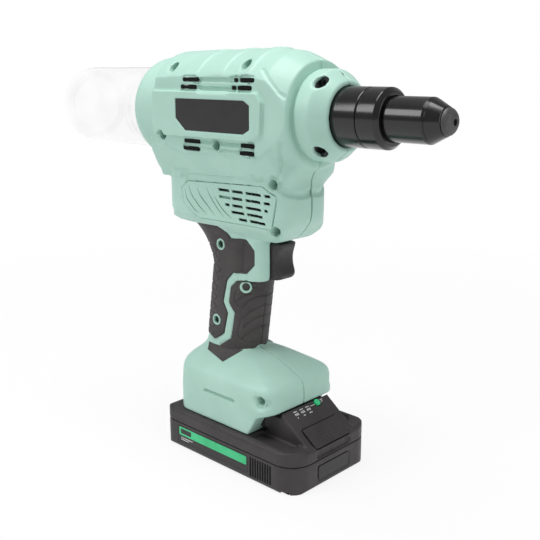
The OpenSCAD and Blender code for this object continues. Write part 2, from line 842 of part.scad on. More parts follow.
// A wound wire along X: one unbroken tube.
module coil_x(x0, x1, r, wire, turns, sides = 6, rings = 8) {
  n = turns * rings;
  pts = [for (k = [0:n]) for (s = [0:sides - 1])
    let (a = k * 360 / rings, b = s * 360 / sides, q = r + wire * cos(b))
      [x0 + wire + (x1 - x0 - 2 * wire) * k / n + wire * sin(b), q * cos(a), q * sin(a)]];
  side_faces = [for (k = [0:n - 1]) for (s = [0:sides - 1])
    let (i = k * sides + s, j = k * sides + (s + 1) % sides)
      for (f = [[i, j, j + sides], [i, j + sides, i + sides]]) f];
  polyhedron(points = pts, faces = concat([[for (s = [sides - 1:-1:0]) s]], side_faces,
    [[for (s = [0:sides - 1]) n * sides + s]]));
}

module pusher_spring() {
  color([0.7, 0.7, 0.72])
    translate([0, 0, axis_z]) coil_x(98.5, 101.5, 5.9, 0.5, 2);
}

module mandrel_tube() {
  color([0.6, 0.6, 0.62]) pipe_x(socket_x + 2, 20, spindle_bore - move_gap, 3.4);
}

module collector_socket() {
  color([0.2, 0.2, 0.21])
    difference() {
      union() {
        rod_x(disc_x, disc_x + 4, cap_r - wall - 1);
        rod_x(socket_x - 18, disc_x + 1, socket_r);
      }
      rod_x(socket_x - 19, disc_x, socket_r - 2.6);
      rod_x(disc_x - 1, disc_x + 5, spindle_bore - move_gap + 0.02);
      pipe_x(socket_x - 13.2, socket_x - 10.8, 40, socket_r - 1.4);
      for (y = [-rod_y, rod_y])
        rod_x(disc_x + 0.9, disc_x + 5, rod_r + 0.02, axis_z, y);
    }
}

module seal_ring() {
  color([0.08, 0.08, 0.08])
    turned_x()
      translate([socket_r - 0.72, socket_x - 12]) circle(r = 0.66, $fn = 24);
}

module collector() {
  color([0.9, 0.93, 0.95, 0.25])
    turned_x()
      round2d([[0, collector_end], [collector_r, collector_end], [collector_r, socket_x - 0.6],
        [collector_r - collector_wall, socket_x - 0.6], [collector_r - collector_wall, collector_end + 2],
        [0, collector_end + 2]], [0, 4, 0.5, 0, 2.4, 0]);
}

module switch_box() {
  color([0.12, 0.12, 0.13])
    difference() {
      box(-17.5, 5, -9.2, 9.2, 121.6, 145.4);
      box(3.8, 10, -6, 6, 121, 144);
    }
}

module trigger() {
  color([0.25, 0.24, 0.24]) {
    difference() {
      slab_z(121, 144)
        round2d([[11.6, -trigger_half], [20.6, -trigger_half], [20.6, trigger_half], [11.6, trigger_half]],
          [0, 4.2, 4.2, 0]);
      rod_y(36.4, 133, -20, 20, 18);
    }
  }
}

module trigger_spring() {
  color([0.7, 0.7, 0.72])
    translate([0, 0, 128]) coil_x(4, 11.4, 3, 0.35, 4);
}

module control_board() {
  color([0.1, 0.3, 0.2]) {
    box(-40, 16, -22, 22, board_z + seat_gap, board_z + 1.7);
    box(-34, -16, -14, 4, board_z + 1.7, board_z + 6);
    rod_z(4, 8, board_z + 1.7, board_z + 10, 5);
  }
}

module rod_z(x, y, z0, z1, r) {
  translate([x, y, z0]) cylinder(h = z1 - z0, r = r);
}

module terminal_block() {
  color([0.1, 0.1, 0.1]) {
    box(-48.6, -42.6, -17, 17, foot_z + 3, 40.45);
    for (y = [-12, -4, 4, 12])
      box(-43, -26, y - 0.4, y + 0.4, 31.6, 35.6);
  }
}

module pack_plan(i) {
  round2d([[-pack_l / 2 + i, -pack_half + i], [pack_l / 2 - i, -pack_half + i], [pack_l / 2 - i, pack_half - i],
    [-pack_l / 2 + i, pack_half - i]], [8 - i, 15 - i, 15 - i, 8 - i]);
}

module pack_edges() {
  intersection() {
    slab_y(-60, 60)
      polygon([[-pack_l / 2 + 1.6, 0], [pack_l / 2 - 1.6, 0], [pack_l / 2, 1.8], [pack_l / 2, 60], [-pack_l / 2, 60],
        [-pack_l / 2, 1.8]]);
    slab_x(-80, 80)
      polygon([[-pack_half + 1.6, 0], [pack_half - 1.6, 0], [pack_half, 1.8], [pack_half, 60], [-pack_half, 60],
        [-pack_half, 1.8]]);
  }
}

module battery_lower() {
  color([0.27, 0.26, 0.26])
    difference() {
      intersection() {
        slab_z(0, part_z - 0.2) pack_plan(0);
        pack_edges();
      }
      slab_z(2.2, 40) pack_plan(2.2);
      for (s = [-1, 1]) {
        translate([0, s * pack_half, 0]) box(-45.5, 20.5, -0.7, 0.7, 4.4, 15.8);
        for (k = [0:8])
          translate([22.6 + k * 2.1, s * pack_half, 0]) box(0, 1.1, -0.8, 0.8, 3.2, 16);
        translate([50, s * 31, 0]) box(-3, 3, -9, 9, -1, 1.6);
      }
      box(58.3, 60, -15.5, 15.5, 3.6, 14.4);
      for (x = [-54, 51.4])
        for (y = [-28.4, 28.4])
          rod_z(x, y, -1, 3, 1.7);
    }
}

module slope_block(i) {
  slab_y(-block_half + i, block_half - i)
    polygon([[22 + i, 17.9], [58.6 - i, 17.9], [slope_low[0] - i * 0.4, slope_low[1] - i],
      [slope_top[0] - i * 0.4, slope_top[1] - i], [34 + move_gap, slope_top[1] - i], [34 + move_gap, 40 - i],
      [22 + i, 40 - i]]);
}

module slope_at(along) {
  translate([slope_top[0], 0, slope_top[1]]) rotate([0, slope_turn, 0]) translate([along, 0, 0]) children();
}

module battery_upper() {
  color([0.27, 0.26, 0.26])
    difference() {
      union() {
        difference() {
          intersection() {
            slab_z(part_z + 0.1, deck_z) pack_plan(0);
            slab_y(-60, 60)
              round2d([[-pack_l / 2, 0], [pack_l / 2, 0], [pack_l / 2, deck_z], [-pack_l / 2, deck_z]], [0, 0, 3, 4]);
            slab_x(-80, 80)
              round2d([[-pack_half, 0], [pack_half, 0], [pack_half, deck_z], [-pack_half, deck_z]], [0, 0, 3, 3]);
          }
          slab_z(10, deck_z - 2.4) pack_plan(2.4);
          for (s = [-1, 1])
            slab_z(deck_z - 1.6, deck_z + 10)
              round2d([[18.6, s > 0 ? block_half : -32.5], [44, s > 0 ? block_half : -32.5],
                [49, s > 0 ? block_half : -26], [49, s > 0 ? 26 : -block_half], [44, s > 0 ? 32.5 : -block_half],
                [18.6, s > 0 ? 32.5 : -block_half]], [2, 1, 1, 1, 1, 2]);
        }
        difference() {
          intersection() {
            slope_block(0);
            box(0, pack_l / 2 - 0.4, -40, 40, 0, 60);
          }
          slope_block(2);
        }
        intersection() {
          slope_at(15) box(0, 13, -block_half + 1, block_half - 1, -10, -8.3);
          slope_block(1);
        }
        box(-40, 24, -18.8, 18.8, deck_z - 2.4, foot_z + 3.6);
        box(-40, 24, -23.6, 23.6, foot_z + 3.5, 39.4);
      }
      for (y = [-12, -4, 4, 12])
        box(-41, -20, y - 1.6, y + 1.6, 30, 36.4);
      box(-36, 20, -16, 16, 20, 30.2);
      box(21, 56.4, -30, 30, 17, 21.8);
      box(-18, 20, -16, 16, 29, 37.4);
      box(19, 26, -16, 16, 24, 40.9);
      slope_at(14.8) box(0, 15, -16.4, 16.4, -8, 8);
      slope_at(2.6) translate([0, 9.3, -6]) cylinder(h = 12, r = 2.5);
      box(57.4, 70, -16, 16, part_z + 1, 23.2);
    }
}

module cells() {
  color([0.16, 0.3, 0.5])
    for (k = [-2:2])
      rod_y(k * 19.6, cell_r + 2.9, -cell_l / 2, cell_l / 2, cell_r);
}

module cell_holder() {
  color([0.12, 0.12, 0.12])
    difference() {
      union() {
        box(-52, 52, -26, -22, 2.4, 21.6);
        box(-52, 52, 22, 26, 2.4, 21.6);
      }
      for (k = [-2:2])
        rod_y(k * 19.6, cell_r + 2.9, -40, 40, cell_r + 0.05);
    }
}

module cell_straps() {
  color([0.8, 0.8, 0.78])
    for (s = [-1, 1])
      for (k = [-2, 0])
        translate([(k + (s > 0 ? 0 : 1)) * 19.6, s * (cell_l / 2 + 0.3), cell_r + 2.9])
          box(-4, 23.6, -0.2, 0.2, -3.5, 3.5);
}

module battery_board() {
  color([0.1, 0.3, 0.2]) box(-34, 18, -15, 15, 22.4, 24);
}

module battery_contacts() {
  color([0.75, 0.6, 0.3])
    for (y = [-12, -4, 4, 12]) {
      box(-33, -24, y - 1.5, y - 0.9, 24.1, 36);
      box(-33, -24, y + 0.9, y + 1.5, 24.1, 36);
    }
}

module latch_button() {
  color([0.25, 0.24, 0.24]) {
    slope_at(14.8) box(move_gap, 15 - move_gap, -16, 16, -2.2, 0.6);
  }
}

module latch_spring() {
  color([0.7, 0.7, 0.72])
    slope_at(22) rotate([0, 90, 0]) coil_x(2.35, 8.15, 3, 0.35, 4);
}

module gauge_button() {
  color([0.3, 0.85, 0.6])
    slope_at(2.6) translate([0, 9.3, -4]) cylinder(h = 4.5, r = 2.2);
}

module battery_panels() {
  color([0.16, 0.16, 0.17])
    for (s = [-1, 1])
      translate([0, s * (pack_half - 0.4), 0]) box(-45.2, 20.2, -0.25, 0.25, 4.7, 15.5);
}

module battery_screws() {
  color([0.3, 0.3, 0.31])
    for (x = [-54, 51.4])
      for (y = [-28.4, 28.4]) {
        rod_z(x, y, 0.4, 2.2, 1.6);
        rod_z(x, y, 2.2, 16, 1.3);
      }
}

housing_right();
housing_left();
grip_right();
grip_left();
housing_screws();
side_plate_right();
side_plate_left();
front_sleeve();
lock_ring();
nose_sleeve();
nose_cone();
nosepiece();
gear_case();
gear_plate();
gear_pillars();
rear_bearing();
front_bearing();
thrust_bearing();
nut();
nut_gear();
idler_gear();
idler_pin();
motor_gear();
gearbox_can();
shaft_bearing();
stator();
windings();
rotor();
fan();
motor_bearing();
spindle();
guide_yoke();
guide_rods();
guide_plate();
jaw_case();
jaws();
jaw_pusher();
pusher_spring();
mandrel_tube();
collector_socket();
seal_ring();
collector();
switch_box();
trigger();
trigger_spring();
control_board();
terminal_block();
battery_lower();
battery_upper();
cells();
cell_holder();
cell_straps();
battery_board();
battery_contacts();
latch_button();
latch_spring();
gauge_button();
battery_panels();
battery_screws();
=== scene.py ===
import math
import bpy
import bmesh
import numpy as np
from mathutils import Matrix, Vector


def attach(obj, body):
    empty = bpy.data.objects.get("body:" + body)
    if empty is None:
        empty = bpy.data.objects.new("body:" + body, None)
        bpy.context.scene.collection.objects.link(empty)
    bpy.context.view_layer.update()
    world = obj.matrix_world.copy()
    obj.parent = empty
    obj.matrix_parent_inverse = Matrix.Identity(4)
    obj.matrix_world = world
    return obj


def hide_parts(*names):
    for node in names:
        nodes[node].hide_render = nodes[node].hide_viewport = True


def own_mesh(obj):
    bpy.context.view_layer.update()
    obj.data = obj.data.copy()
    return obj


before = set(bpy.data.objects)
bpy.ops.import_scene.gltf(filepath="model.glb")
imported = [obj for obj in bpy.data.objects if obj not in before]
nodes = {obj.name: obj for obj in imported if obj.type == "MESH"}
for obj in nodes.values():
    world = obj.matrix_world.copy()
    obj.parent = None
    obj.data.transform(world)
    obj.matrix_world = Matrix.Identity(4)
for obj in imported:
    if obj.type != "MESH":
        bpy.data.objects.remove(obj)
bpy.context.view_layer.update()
scene = bpy.context.scene
scene.view_settings.view_transform = "Standard"
mm = 0.001
print("frame loaded:", len(nodes), "nodes")


# finishes

def linear(r, g, b):
    out = []
    for c in (r, g, b):
        c = c / 255.0
        out.append(c / 12.92 if c <= 0.04045 else ((c + 0.055) / 1.055) ** 2.4)
    return (out[0], out[1], out[2], 1.0)


def startFinish(name):
    mat = bpy.data.materials.new(name)
    mat.use_nodes = True
    tree = mat.node_tree
    shader = tree.nodes["Principled BSDF"]
    place = tree.nodes.new("ShaderNodeTexCoord")
    return mat, tree, shader, place


def addNode(tree, kind, values=None, operation=None):
    made = tree.nodes.new("ShaderNode" + kind)
    if operation:
        made.operation = operation
    for name, value in (values or {}).items():
        made.inputs[name].default_value = value
    return made


def cloud(tree, place, scale, detail, rough=0.55):
    n = addNode(tree, "TexNoise", {"Scale": scale, "Detail": detail, "Roughness": rough})
    tree.links.new(place.outputs["Object"], n.inputs["Vector"])
    return n


toneStops = dict(dark=0.3, light=0.7)
glossRange = {"From Min": 0.25, "From Max": 0.75}


def tone(tree, source, shader, look):
    r = addNode(tree, "ValToRGB")
    for stop, (name, at) in zip(r.color_ramp.elements, toneStops.items()):
        stop.position = at
        stop.color = linear(*look[name])
    tree.links.new(source, r.inputs["Fac"])
    tree.links.new(r.outputs["Color"], shader.inputs["Base Color"])


def gloss(tree, source, shader, look):
    low, high = look["roughness"]
    m = addNode(tree, "MapRange", dict(glossRange, **{"To Min": low, "To Max": high}))
    tree.links.new(source, m.inputs["Value"])
    tree.links.new(m.outputs["Result"], shader.inputs["Roughness"])


def relief(tree, height, shader, strength, distance):
    b = addNode(tree, "Bump", {"Strength": strength, "Distance": distance})
    tree.links.new(height, b.inputs["Height"])
    tree.links.new(b.outputs["Normal"], shader.inputs["Normal"])


# moulded and rubber skins: slow colour drift, uneven gloss and a fine spark grain
def mouldedSkin(name, look):
    mat, tree, shader, place = startFinish(name)
    tone(tree, cloud(tree, place, look["driftScale"], 4.0).outputs["Fac"], shader, look)
    gloss(tree, cloud(tree, place, look["glossScale"], 2.0).outputs["Fac"], shader, look)
    grain = cloud(tree, place, look["grainScale"], 2.0, 0.6)
    relief(tree, grain.outputs["Fac"], shader, look["grain"], look["grainDepth"])
    shader.inputs["Specular IOR Level"].default_value = look["specular"]
    shader.inputs["Sheen Weight"].default_value = look.get("sheen", 0.0)
    return mat


# turned and drawn metal: bands along the tool's axis, and a gloss that drifts with the colour
def turnedMetal(name, look):
    mat, tree, shader, place = startFinish(name)
    drift = cloud(tree, place, look["driftScale"], 4.0).outputs["Fac"]
    tone(tree, drift, shader, look)
    rings = addNode(tree, "TexWave", {"Scale": look["ringScale"], "Distortion": 0.6, "Detail": 2.0})
    rings.wave_type = "BANDS"
    rings.bands_direction = "X"
    tree.links.new(place.outputs["Object"], rings.inputs["Vector"])
    gloss(tree, drift, shader, look)
    relief(tree, rings.outputs["Fac"], shader, look["grain"], look["grainDepth"])
    shader.inputs["Metallic"].default_value = look["metal"]
    shader.inputs["Specular IOR Level"].default_value = look.get("specular", 0.5)
    if "coat" in look:
        shader.inputs["Coat Weight"].default_value = look["coat"]
        shader.inputs["Coat Roughness"].default_value = 0.12
    return mat


# clear moulded container: almost no tint, faint flow marks
def clearMoulding(name, look):
    mat, tree, shader, place = startFinish(name)
    flow = cloud(tree, place, look["flowScale"], 2.0).outputs["Fac"]
    gloss(tree, flow, shader, look)
    tone(tree, flow, shader, look)
    relief(tree, flow, shader, look["flow"], look["flowDepth"])
    shader.inputs["Transmission Weight"].default_value = 1.0
    shader.inputs["IOR"].default_value = look["ior"]
    return mat


# the values of each finish, in the order of the keys
skinKeys = ("dark", "light", "driftScale", "glossScale", "roughness", "grainScale", "grain",
    "grainDepth", "specular", "sheen")
skinLooks = {
    "mintShell": ((168, 207, 193), (178, 215, 202), 35.0, 260.0, (0.34, 0.46), 2600.0, 0.10, 0.00012, 0.42),
    "gripRubber": ((60, 56, 57), (76, 72, 72), 60.0, 420.0, (0.58, 0.74), 2100.0, 0.35, 0.0002, 0.32, 0.12),
    "batteryPlastic": ((50, 47, 48), (62, 58, 59), 45.0, 300.0, (0.42, 0.56), 2300.0, 0.22, 0.00016, 0.4),
    "panelPlastic": ((30, 29, 30), (38, 36, 37), 60.0, 380.0, (0.30, 0.40), 3000.0, 0.06, 0.0001, 0.45),
    "triggerPlastic": ((46, 43, 44), (58, 55, 55), 80.0, 350.0, (0.44, 0.58), 2400.0, 0.2, 0.00014, 0.4),
    "blackPlastic": ((26, 26, 27), (36, 36, 37), 70.0, 320.0, (0.46, 0.6), 2200.0, 0.2, 0.00014, 0.4),
    "greenPlastic": ((40, 190, 120), (66, 212, 146), 90.0, 300.0, (0.26, 0.36), 2600.0, 0.05, 0.0001, 0.5),
    "whitePrint": ((205, 206, 205), (226, 227, 226), 120.0, 400.0, (0.5, 0.62), 2600.0, 0.05, 0.00005, 0.3),
    "cellWrap": ((34, 92, 128), (46, 110, 148), 60.0, 240.0, (0.26, 0.38), 1800.0, 0.05, 0.0001, 0.5),
    "boardGreen": ((22, 84, 48), (34, 104, 60), 160.0, 500.0, (0.35, 0.48), 1400.0, 0.2, 0.0002, 0.45),
    # shadowPlastic is a near-black painted shade, laid as thin sheets where only shade falls: behind slots, in rib
    # gaps and in a notch
    "shadowPlastic": ((8, 8, 8), (14, 14, 14), 80.0, 300.0, (0.7, 0.85), 2200.0, 0.1, 0.0001, 0.2),
}
# metals; only some have a gloss of their own and a coat
metalKeys = ("dark", "light", "driftScale", "ringScale", "metal", "roughness", "grain", "grainDepth",
    "specular", "coat")
metalLooks = {
    "blackNose": ((11, 11, 12), (18, 18, 19), 90.0, 620.0, 0.35, (0.17, 0.24), 0.05, 0.00005, 0.6, 0.35),
    "tipSteel": ((66, 65, 66), (90, 88, 88), 160.0, 700.0, 0.5, (0.42, 0.54), 0.12, 0.00008),
    "darkSteel": ((62, 62, 64), (84, 84, 86), 130.0, 560.0, 1.0, (0.30, 0.42), 0.1, 0.00008),
    "brightSteel": ((168, 168, 170), (190, 190, 192), 120.0, 620.0, 1.0, (0.18, 0.30), 0.08, 0.00006),
    "castMetal": ((132, 133, 136), (156, 157, 160), 240.0, 160.0, 0.9, (0.42, 0.58), 0.2, 0.0002),
    "copperWire": ((168, 92, 50), (196, 116, 70), 260.0, 420.0, 1.0, (0.26, 0.38), 0.4, 0.0003),
}
finishes = {name: mouldedSkin(name, dict(zip(skinKeys, row))) for name, row in skinLooks.items()}
finishes.update({name: turnedMetal(name, dict(zip(metalKeys, row))) for name, row in metalLooks.items()})
finishes["clearPlastic"] = clearMoulding("clearPlastic", dict(
        dark=(250, 250, 250), light=(255, 255, 255), flowScale=40.0, roughness=(0.0, 0.03), flow=0.02,
        flowDepth=0.0001, ior=1.03))
print("finishes made:", len(finishes))

finishOf = {
    "mintShell": ["housing_right", "housing_left"],
    "gripRubber": ["grip_right", "grip_left"],
    "panelPlastic": ["side_plate_right", "side_plate_left", "battery_panels"],
    "blackNose": ["front_sleeve", "lock_ring", "nose_sleeve", "nose_cone"],
    "tipSteel": ["nosepiece"],
    "darkSteel": ["housing_screws", "battery_screws", "rear_bearing", "front_bearing", "nut", "guide_rods",
        "nut_gear", "idler_gear", "motor_gear", "jaws", "gear_pillars", "guide_yoke", "guide_plate"],
    "castMetal": ["gear_case", "gear_plate", "gearbox_can"],
    "brightSteel": ["thrust_bearing", "idler_pin", "shaft_bearing",
        "stator", "motor_bearing", "spindle", "jaw_case", "jaw_pusher",
        "pusher_spring", "mandrel_tube", "trigger_spring", "latch_spring", "rotor"],
    "copperWire": ["windings", "cell_straps", "battery_contacts"],
    "blackPlastic": ["fan", "switch_box", "terminal_block", "cell_holder"],
    "clearPlastic": ["collector", "collector_socket", "seal_ring"],
    "triggerPlastic": ["trigger"],
    "boardGreen": ["control_board", "battery_board"],
    "batteryPlastic": ["battery_lower", "battery_upper", "latch_button"],
    "cellWrap": ["cells"],
    "greenPlastic": ["gauge_button"],
}


def coat(obj, finish):
    obj.data.materials.clear()
    obj.data.materials.append(finishes[finish])


for finish, names in finishOf.items():
    for name in names:
        coat(nodes[name], finish)
print("finishes set on the nodes")


# where a piece rides, its slot and its finish
mint = dict(body="tool", slot="mint_shell", finish="mintShell")
rubber = dict(body="tool", slot="grip_rubber", finish="gripRubber")
pack = dict(body="battery", slot="battery_plastic", finish="batteryPlastic")
plate = dict(body="tool", slot="dark_plate", finish="panelPlastic")
nose = dict(body="tool", slot="black_nose", finish="blackNose")
steel = dict(slot="bright_steel", finish="brightSteel")
sides = ((-1.0, "right"), (1.0, "left"))

# softened copies: turned and small pieces, with the small edge radii of the real ones
softened = {
    "side_plate_right": dict(plate, radius=0.3),
    "side_plate_left": dict(plate, radius=0.3),
    "front_sleeve": dict(nose, radius=0.5),
    "lock_ring": dict(nose, radius=0.5),
    "nose_sleeve": dict(nose, radius=0.5),
    "nose_cone": dict(nose, radius=0.4),
    "nosepiece": dict(body="tool", slot="tip_steel", radius=0.3, finish="tipSteel"),
    "collector": dict(body="collector", slot="clear_plastic", radius=0.5, finish="clearPlastic"),
}
softEdges = dict(flatAngle=0.6, sharpAngle=32.0, steps=3, weight=50)


def addPiece(name, mesh, look, replaced=None):
    piece = bpy.data.objects.new(name, mesh)
    scene.collection.objects.link(piece)
    coat(piece, look["finish"])
    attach(piece, look["body"])
    if replaced:
        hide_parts(replaced)
    return piece


def meshOf(bm, name, outside=False):
    if outside:
        bmesh.ops.recalc_face_normals(bm, faces=bm.faces)
    mesh = bpy.data.meshes.new(name)
    bm.to_mesh(mesh)
    bm.free()
    return mesh


def roundEdges(piece, width, steps, angle):
    edge = piece.modifiers.new("edge", "BEVEL")
    edge.width = width * mm
    edge.segments = steps
    edge.limit_method = "ANGLE"
    edge.angle_limit = math.radians(angle)


def thicken(piece, thick):
    skin = piece.modifiers.new("skin", "SOLIDIFY")
    skin.thickness = thick * mm
    skin.offset = -1.0


def mergedCopy(node):
    bm = bmesh.new()
    bm.from_mesh(nodes[node].data)
    bmesh.ops.remove_doubles(bm, verts=bm.verts, dist=2e-6)
    return bm


def soften(node, look):
    bm = mergedCopy(node)
    flatAngle, sharpAngle = math.radians(softEdges["flatAngle"]), math.radians(softEdges["sharpAngle"])
    bmesh.ops.dissolve_limit(bm, angle_limit=flatAngle, verts=bm.verts, edges=bm.edges)
    for face in bm.faces:
        face.smooth = True
    for edge in bm.edges:
        if len(edge.link_faces) == 2 and edge.calc_face_angle(0.0) > sharpAngle:
            edge.smooth = False
    piece = addPiece(node + "_soft", meshOf(bm, node + "_soft"), look, node)
    roundEdges(piece, look["radius"], softEdges["steps"], softEdges["sharpAngle"])
    flat = piece.modifiers.new("flat", "WEIGHTED_NORMAL")
    flat.mode = "FACE_AREA"
    flat.weight = softEdges["weight"]
    flat.keep_sharp = True


for node, look in softened.items():
    soften(node, look)
print("softened copies made:", len(softened))


# the two coils that are pressed together by the trigger and by the latch
springs = {
    "trigger_spring": dict(steel, body="tool", joint="trigger_pull", axis=(1.0, 0.0, 0.0),
        anchor=(4.0, 0.0, 128.0), keep=0.18),
    "latch_spring": dict(steel, body="battery", joint="latch_press", axis=(0.6, 0.0, 0.8),
        anchor=(47.31, 0.0, 23.28), keep=0.55),
}
for node, look in springs.items():
    coil = addPiece(node + "_coil", meshOf(mergedCopy(node), node + "_coil"), look, node)
    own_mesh(coil)
print("springs laid:", len(springs))

# remade skins: each moulded piece again as an even fine net, eased where the real one is soft
remade = {
    "housing_right": dict(mint, step=0.62, ease=2),
    "housing_left": dict(mint, step=0.62, ease=2),
    "grip_right": dict(rubber, step=0.45, ease=2),
    "grip_left": dict(rubber, step=0.45, ease=2),
    "battery_lower": dict(pack, step=0.55, ease=2),
    "battery_upper": dict(pack, step=0.6, ease=5),
    "latch_button": dict(pack, body="latch", step=0.32, ease=2),
    "trigger": dict(body="trigger", slot="trigger_plastic", finish="triggerPlastic", step=0.36, ease=3),
}
heaviest = 92000


class Net:
    pass


def readOut(items, what, width, kind):
    values = np.empty(len(items) * width, dtype=kind)
    items.foreach_get(what, values)
    return values.reshape(-1, width)


# every face that the voxel remesh makes has four corners
def evenNet(node, step):
    rough = meshOf(mergedCopy(node), "rough")
    holder = bpy.data.objects.new("rough", rough)
    scene.collection.objects.link(holder)
    even = holder.modifiers.new("even", "REMESH")
    even.mode = "VOXEL"
    even.voxel_size = step * mm
    even.adaptivity = 0.0
    made = bpy.data.meshes.new_from_object(holder.evaluated_get(bpy.context.evaluated_depsgraph_get()))
    bpy.data.objects.remove(holder)
    bpy.data.meshes.remove(rough)
    net = Net()
    net.at = readOut(made.vertices, "co", 3, np.float64) / mm
    net.edges = readOut(made.edges, "vertices", 2, np.int64)
    net.quads = readOut(made.loops, "vertex_index", 1, np.int64).reshape(-1, 4)
    bpy.data.meshes.remove(made)
    return net


def outward(net):
    a, b, c, d = (net.at[net.quads[:, k]] for k in range(4))
    lean = np.cross(c - a, d - b)
    total = np.zeros_like(net.at)
    for k in range(4):
        for axis in range(3):
            total[:, axis] += np.bincount(net.quads[:, k], lean[:, axis], len(net.at))
    size = np.linalg.norm(total, axis=1, keepdims=True)
    return total / np.maximum(size, 1e-12)


# eases the net where the share is above nought; only points of the chosen skin pull on each other
def ease(net, share, rounds, skin=None, hold=None):
    near, far = net.edges[:, 0], net.edges[:, 1]
    keep = (share[near] > 0.0) | (share[far] > 0.0)
    if skin is not None:
        keep &= skin[near] & skin[far]
    ids, ends = np.unique(net.edges[keep].reshape(-1), return_inverse=True)
    near, far = ends.reshape(-1, 2).T
    count = len(ids)
    ties = np.bincount(near, minlength=count) + np.bincount(far, minlength=count)
    amount = np.where(ties > 1, share[ids], 0.0) / np.maximum(ties, 1)
    places = net.at[ids]
    free = np.ones((count, 3))
    if hold is not None:
        free[hold[ids], 1] = 0.0
    for _ in range(rounds):
        for axis in range(3):
            line = places[:, axis]
            pull = np.bincount(near, line[far], count) + np.bincount(far, line[near], count)
            places[:, axis] = line + (pull - line * ties) * amount * free[:, axis]
    net.at[ids] = places


def between(value, low, high):
    t = np.clip((value - low) / (high - low), 0.0, 1.0)
    return t * t * (3.0 - 2.0 * t)


# the share of an easing inside slopes of (axis, from, to)
def window(net, amount, slopes):
    share = np.full(len(net.at), amount)
    for axis, low, high in slopes:
        share = share * between(net.at[:, axis], low, high)
    return share


def facing(net, normals, middle):
    return (normals * (net.at - np.array(middle))).sum(axis=1) > 0.0


# leaves out the flat faces where the halves meet; near them the points keep to the centre plane
seam = dict(near=0.5, lean=0.9, hold=1.0)


def offSeam(net, normals):
    return ~((np.abs(net.at[:, 1]) < seam["near"]) & (np.abs(normals[:, 1]) > seam["lean"]))


def onSeam(net):
    return np.abs(net.at[:, 1]) < seam["hold"]


# lays the net down as one or more pieces, none of them too heavy to export
def layNet(net, node, look):
    normals = outward(net)
    groups = max(1, math.ceil(len(net.quads) / heaviest))
    height = net.at[net.quads].mean(axis=1)[:, 2]
    order = np.argsort(height, kind="stable")
    for k, part in enumerate(np.array_split(order, groups)):
        quads = net.quads[np.sort(part)]
        used, turned = np.unique(quads.reshape(-1), return_inverse=True)
        mesh = bpy.data.meshes.new("%s_skin%d" % (node, k))
        mesh.vertices.add(len(used))
        mesh.vertices.foreach_set("co", (net.at[used] * mm).reshape(-1))
        mesh.loops.add(len(turned))
        mesh.loops.foreach_set("vertex_index", turned.reshape(-1))
        mesh.polygons.add(len(quads))
        mesh.polygons.foreach_set("loop_start", np.arange(len(quads)) * 4)
        mesh.update(calc_edges=True)
        mesh.polygons.foreach_set("use_smooth", np.ones(len(quads), dtype=bool))
        mesh.normals_split_custom_set_from_vertices(normals[used].tolist())
        addPiece(mesh.name, mesh, look, node)
    print("  skin of", node, "quads", len(net.quads), "pieces", groups)


# points of a smooth run through a few places
def run(places, gap=0.25):
    places = np.array(places, dtype=float)
    ends = np.vstack([2 * places[0] - places[1], places, 2 * places[-1] - places[-2]])
    out = []
    for k in range(len(places) - 1):
        p0, p1, p2, p3 = ends[k:k + 4]
        steps = max(2, int(np.linalg.norm(p2 - p1) / gap))
        t = np.linspace(0.0, 1.0, steps, endpoint=False)[:, None]
        out.append(0.5 * (2 * p1 + (p2 - p0) * t + (2 * p0 - 5 * p1 + 4 * p2 - p3) * t ** 2
                          + (3 * p1 - p0 - 3 * p2 + p3) * t ** 3))
    return np.vstack(out + [places[-1:]])


def straight(places, gap=0.25):
    places = np.array(places, dtype=float)
    out = []
    for p1, p2 in zip(places[:-1], places[1:]):
        steps = max(2, int(np.linalg.norm(p2 - p1) / gap))
        out.append(p1 + (p2 - p1) * np.linspace(0.0, 1.0, steps, endpoint=False)[:, None])
    return np.vstack(out + [places[-1:]])


# presses a rounded groove along the runs, the same on both sides of the tool
def groove(net, runs, depth, half, normals, allowed, flat=2):
    points = np.vstack(runs)
    low, high = points.min(axis=0) - half, points.max(axis=0) + half
    mirrored = net.at * np.array([1.0, 0.0, 1.0]) - np.abs(net.at) * np.array([0.0, 1.0, 0.0])
    near = np.where(allowed & ((mirrored > low) & (mirrored < high)).all(axis=1))[0]
    for chunk in np.array_split(near, max(1, len(near) // 4000)):
        gaps = ((mirrored[chunk][:, None, :] - points[None, :, :]) ** 2).sum(axis=2).min(axis=1) ** 0.5
        share = np.clip(1.0 - (gaps / half) ** flat, 0.0, 1.0) ** 1.5
        net.at[chunk] -= normals[chunk] * (share * depth)[:, None]


# the handle's moulded surface: how far it stands out at a place along and up the handle
handle = dict(lean=7.9, base=100.0, centre=-21.7, half=16.5, flat=4.5, bend=(-71.0, 118.0, 54.0), rubber=0.5)


leanTan, leanCos = math.tan(math.radians(handle["lean"])), math.cos(math.radians(handle["lean"]))


def handleAxis(z):
    return handle["centre"] + (z - handle["base"]) * leanTan


def alongHandle(x, z):
    bx, bz, r = handle["bend"]
    return (x - handleAxis(z)) * leanCos if z < bz else math.hypot(x - bx, z - bz) - r


def handleSide(x, z):
    past = max(0.0, abs(alongHandle(x, z)) - handle["flat"])
    return math.sqrt(max(0.0, handle["half"] ** 2 - past ** 2))


def handlePoint(turn, z):
    turn = math.radians(turn)
    along = -handle["flat"] - handle["half"] * math.sin(turn)
    bx, bz, r = handle["bend"]
    if z < bz:
        x = along / leanCos + handle["centre"] + (z - handle["base"]) * leanTan
    else:
        x = bx + math.sqrt((r + along) ** 2 - (z - bz) ** 2)
    return (x, -(handle["half"] + handle["rubber"]) * math.cos(turn), z)


